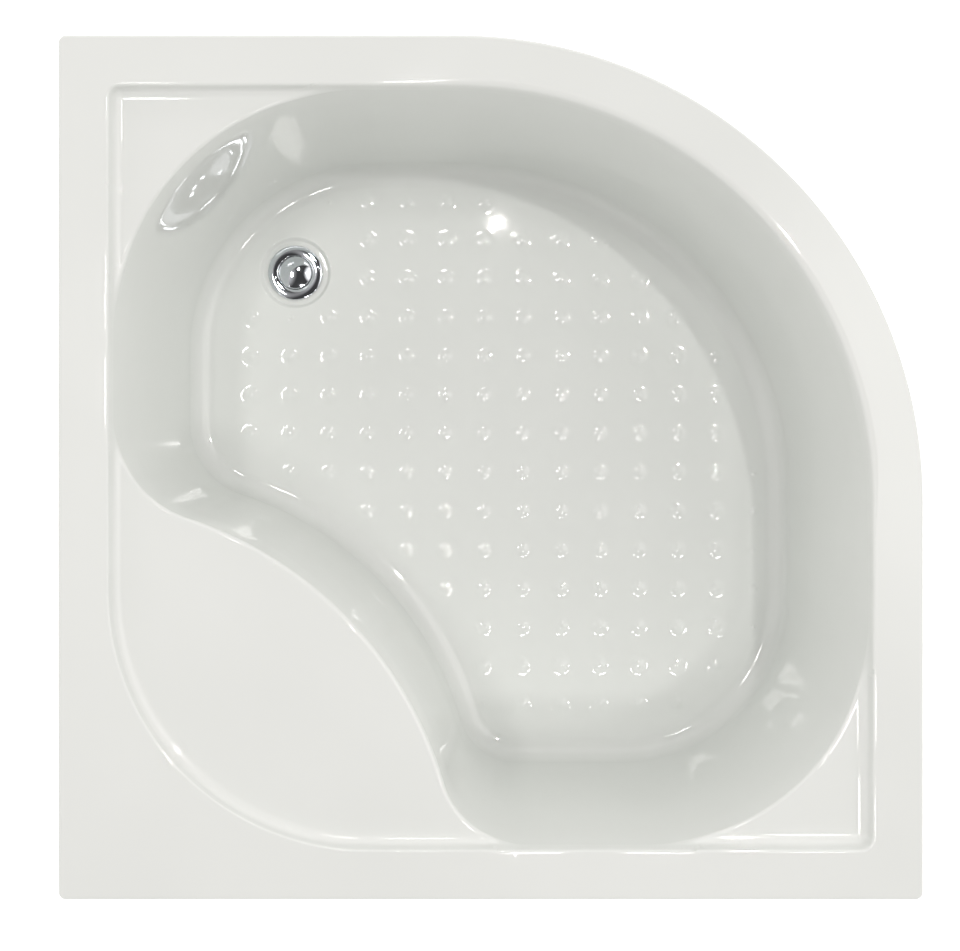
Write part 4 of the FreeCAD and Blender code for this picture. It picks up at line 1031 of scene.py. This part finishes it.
# Place on plan of each faint lamp
FAINT_LAMPS = [(0.2, -1.58), (0.75, -1.58), (1.4, -1.14), (-1.46, 0.68), (-1.48, 0.24), (-0.3, 1.45)]
FAINT_LAMP_SIZE = 0.34
FAINT_LAMP_POWER = 8
# Lens and sensor in millimetres, and the lens's shift in pixels of the photo
SENSOR_WIDTH = 36
LENS_LENGTH = 39
LENS_SHIFT_X = -4
LENS_SHIFT_Y = -34.5
PHOTO_WIDTH = 960
CAMERA_PLACE = (-7 * MM, 27.5 * MM, 1510 * MM)


def make_floor():
    """A plain pale floor that keeps the shadow, lifted to white for the camera and in reflections."""
    surface = Surface()
    ring = surface.ring(with_height(circle((0, 0), STAGE_RADIUS, STAGE_SIDES), 0))
    surface.faces.append(tuple(ring))
    material = bpy.data.materials.new("stage_floor")
    material.use_nodes = True
    tree = material.node_tree
    shader = tree.nodes["Principled BSDF"]
    shader.inputs["Base Color"].default_value = STAGE_COLOUR
    shader.inputs["Roughness"].default_value = STAGE_ROUGHNESS
    shader.inputs["Specular IOR Level"].default_value = 0
    path = tree.nodes.new("ShaderNodeLightPath")
    seen = path.outputs["Is Camera Ray"]
    for ray in ("Is Glossy Ray", "Is Transmission Ray"):
        either = tree.nodes.new("ShaderNodeMath")
        either.operation = "MAXIMUM"
        tree.links.new(seen, either.inputs[0])
        tree.links.new(path.outputs[ray], either.inputs[1])
        seen = either.outputs["Value"]
    lift = tree.nodes.new("ShaderNodeMath")
    lift.operation = "MULTIPLY"
    lift.inputs[1].default_value = STAGE_LIFT
    tree.links.new(seen, lift.inputs[0])
    shader.inputs["Emission Color"].default_value = (1, 1, 1, 1)
    tree.links.new(lift.outputs["Value"], shader.inputs["Emission Strength"])
    floor = surface.object("stage_floor", material)


def spread(tree, value, source, target):
    """A smooth change from one target value to the other as a value runs through its source range."""
    made = tree.nodes.new("ShaderNodeMapRange")
    made.interpolation_type = "SMOOTHSTEP"
    for name, number in zip(("From Min", "From Max", "To Min", "To Max"), (*source, *target)):
        made.inputs[name].default_value = number
    tree.links.new(value, made.inputs["Value"])
    return made.outputs["Result"]


def make_world():
    """A pale room, white near the horizon and dim overhead, with soft lights on three sides."""
    world = bpy.data.worlds.new("room")
    bpy.context.scene.world = world
    world.use_nodes = True
    tree = world.node_tree
    place = tree.nodes.new("ShaderNodeTexCoord")
    split = tree.nodes.new("ShaderNodeSeparateXYZ")
    tree.links.new(place.outputs["Generated"], split.inputs["Vector"])
    glow = spread(tree, split.outputs["Z"], ROOM_DIMMING, (1.0, ROOM_OVERHEAD))
    for way, width, strength in SOFT_LIGHTS:
        towards = tree.nodes.new("ShaderNodeVectorMath")
        towards.operation = "DOT_PRODUCT"
        tree.links.new(place.outputs["Generated"], towards.inputs[0])
        towards.inputs[1].default_value = Vector(way).normalized()
        soft = spread(tree, towards.outputs["Value"], width, (0.0, strength))
        total = tree.nodes.new("ShaderNodeMath")
        tree.links.new(glow, total.inputs[0])
        tree.links.new(soft, total.inputs[1])
        glow = total.outputs["Value"]
    background = tree.nodes["Background"]
    background.inputs["Color"].default_value = (*LIGHT_COLOUR, 1)
    tree.links.new(glow, background.inputs["Strength"])


def add_lamp(name, place, size, power):
    """A round lamp aimed at the middle of the basin's floor."""
    lamp = bpy.data.lights.new(name, "AREA")
    lamp.shape = "DISK"
    lamp.size = size
    lamp.energy = power
    lamp.color = LIGHT_COLOUR
    made = bpy.data.objects.new(name, lamp)
    made.location = place
    made.rotation_euler = (Vector((0, 0, FLOOR)) - Vector(place)).to_track_quat("-Z", "Y").to_euler()
    made.visible_camera = False
    bpy.context.scene.collection.objects.link(made)


def make_lamps():
    """Lamps above the tray: two small and bright, the others wider and faint."""
    for number, (x, y, size, power) in enumerate(BRIGHT_LAMPS, start=1):
        add_lamp(f"bright_lamp_{number}", (x, y, LAMP_HEIGHT), size, power)
    for number, (x, y) in enumerate(FAINT_LAMPS, start=1):
        add_lamp(f"faint_lamp_{number}", (x, y, LAMP_HEIGHT), FAINT_LAMP_SIZE, FAINT_LAMP_POWER)


def make_camera():
    """A camera that looks straight down, as the photo's does."""
    lens = bpy.data.cameras.new("camera")
    lens.sensor_width = SENSOR_WIDTH
    lens.lens = LENS_LENGTH
    lens.shift_x = LENS_SHIFT_X / PHOTO_WIDTH
    lens.shift_y = LENS_SHIFT_Y / PHOTO_WIDTH
    camera = bpy.data.objects.new("camera", lens)
    camera.location = CAMERA_PLACE
    bpy.context.scene.collection.objects.link(camera)
    bpy.context.scene.camera = camera


def place_piece(made, body, node):
    """Lets a piece ride a body in place of a node."""
    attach(made, body)
    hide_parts(node)


def main():
    bpy.context.scene.view_settings.view_transform = "Standard"
    looks = make_looks()
    for name, thing in nodes.items():
        for slot in thing.material_slots:
            slot.material = looks[node_slot[name]]
    place_piece(make_shell(looks["white_acrylic"]), "tray", "acrylic_shell")
    place_piece(make_laminate(looks["laminate"]), "tray", "grp_backing")
    place_piece(make_apron(looks["white_acrylic"]), "apron", "apron_panel")
    place_piece(make_flange(looks["chrome_plate"]), "tray", "waste_flange")
    place_piece(make_plug_cap(looks["chrome_plate"]), "plug", "plug_cap")
    for number in FEET:
        body = f"foot_{number}"
        for make, node in ((make_rod, f"foot_rod_{number}"), (make_pad, f"foot_pad_{number}")):
            slot = node_slot[node]
            place_piece(make(number, looks[slot]), body, node)
    for name, node in (("hex_nuts_lower", "adjusting_nuts"), ("hex_nuts_upper", "lock_nuts")):
        place_piece(make_nuts(name, node, looks[node_slot[node]]), "tray", node)
    make_floor()
    make_world()
    make_lamps()
    make_camera()


main()
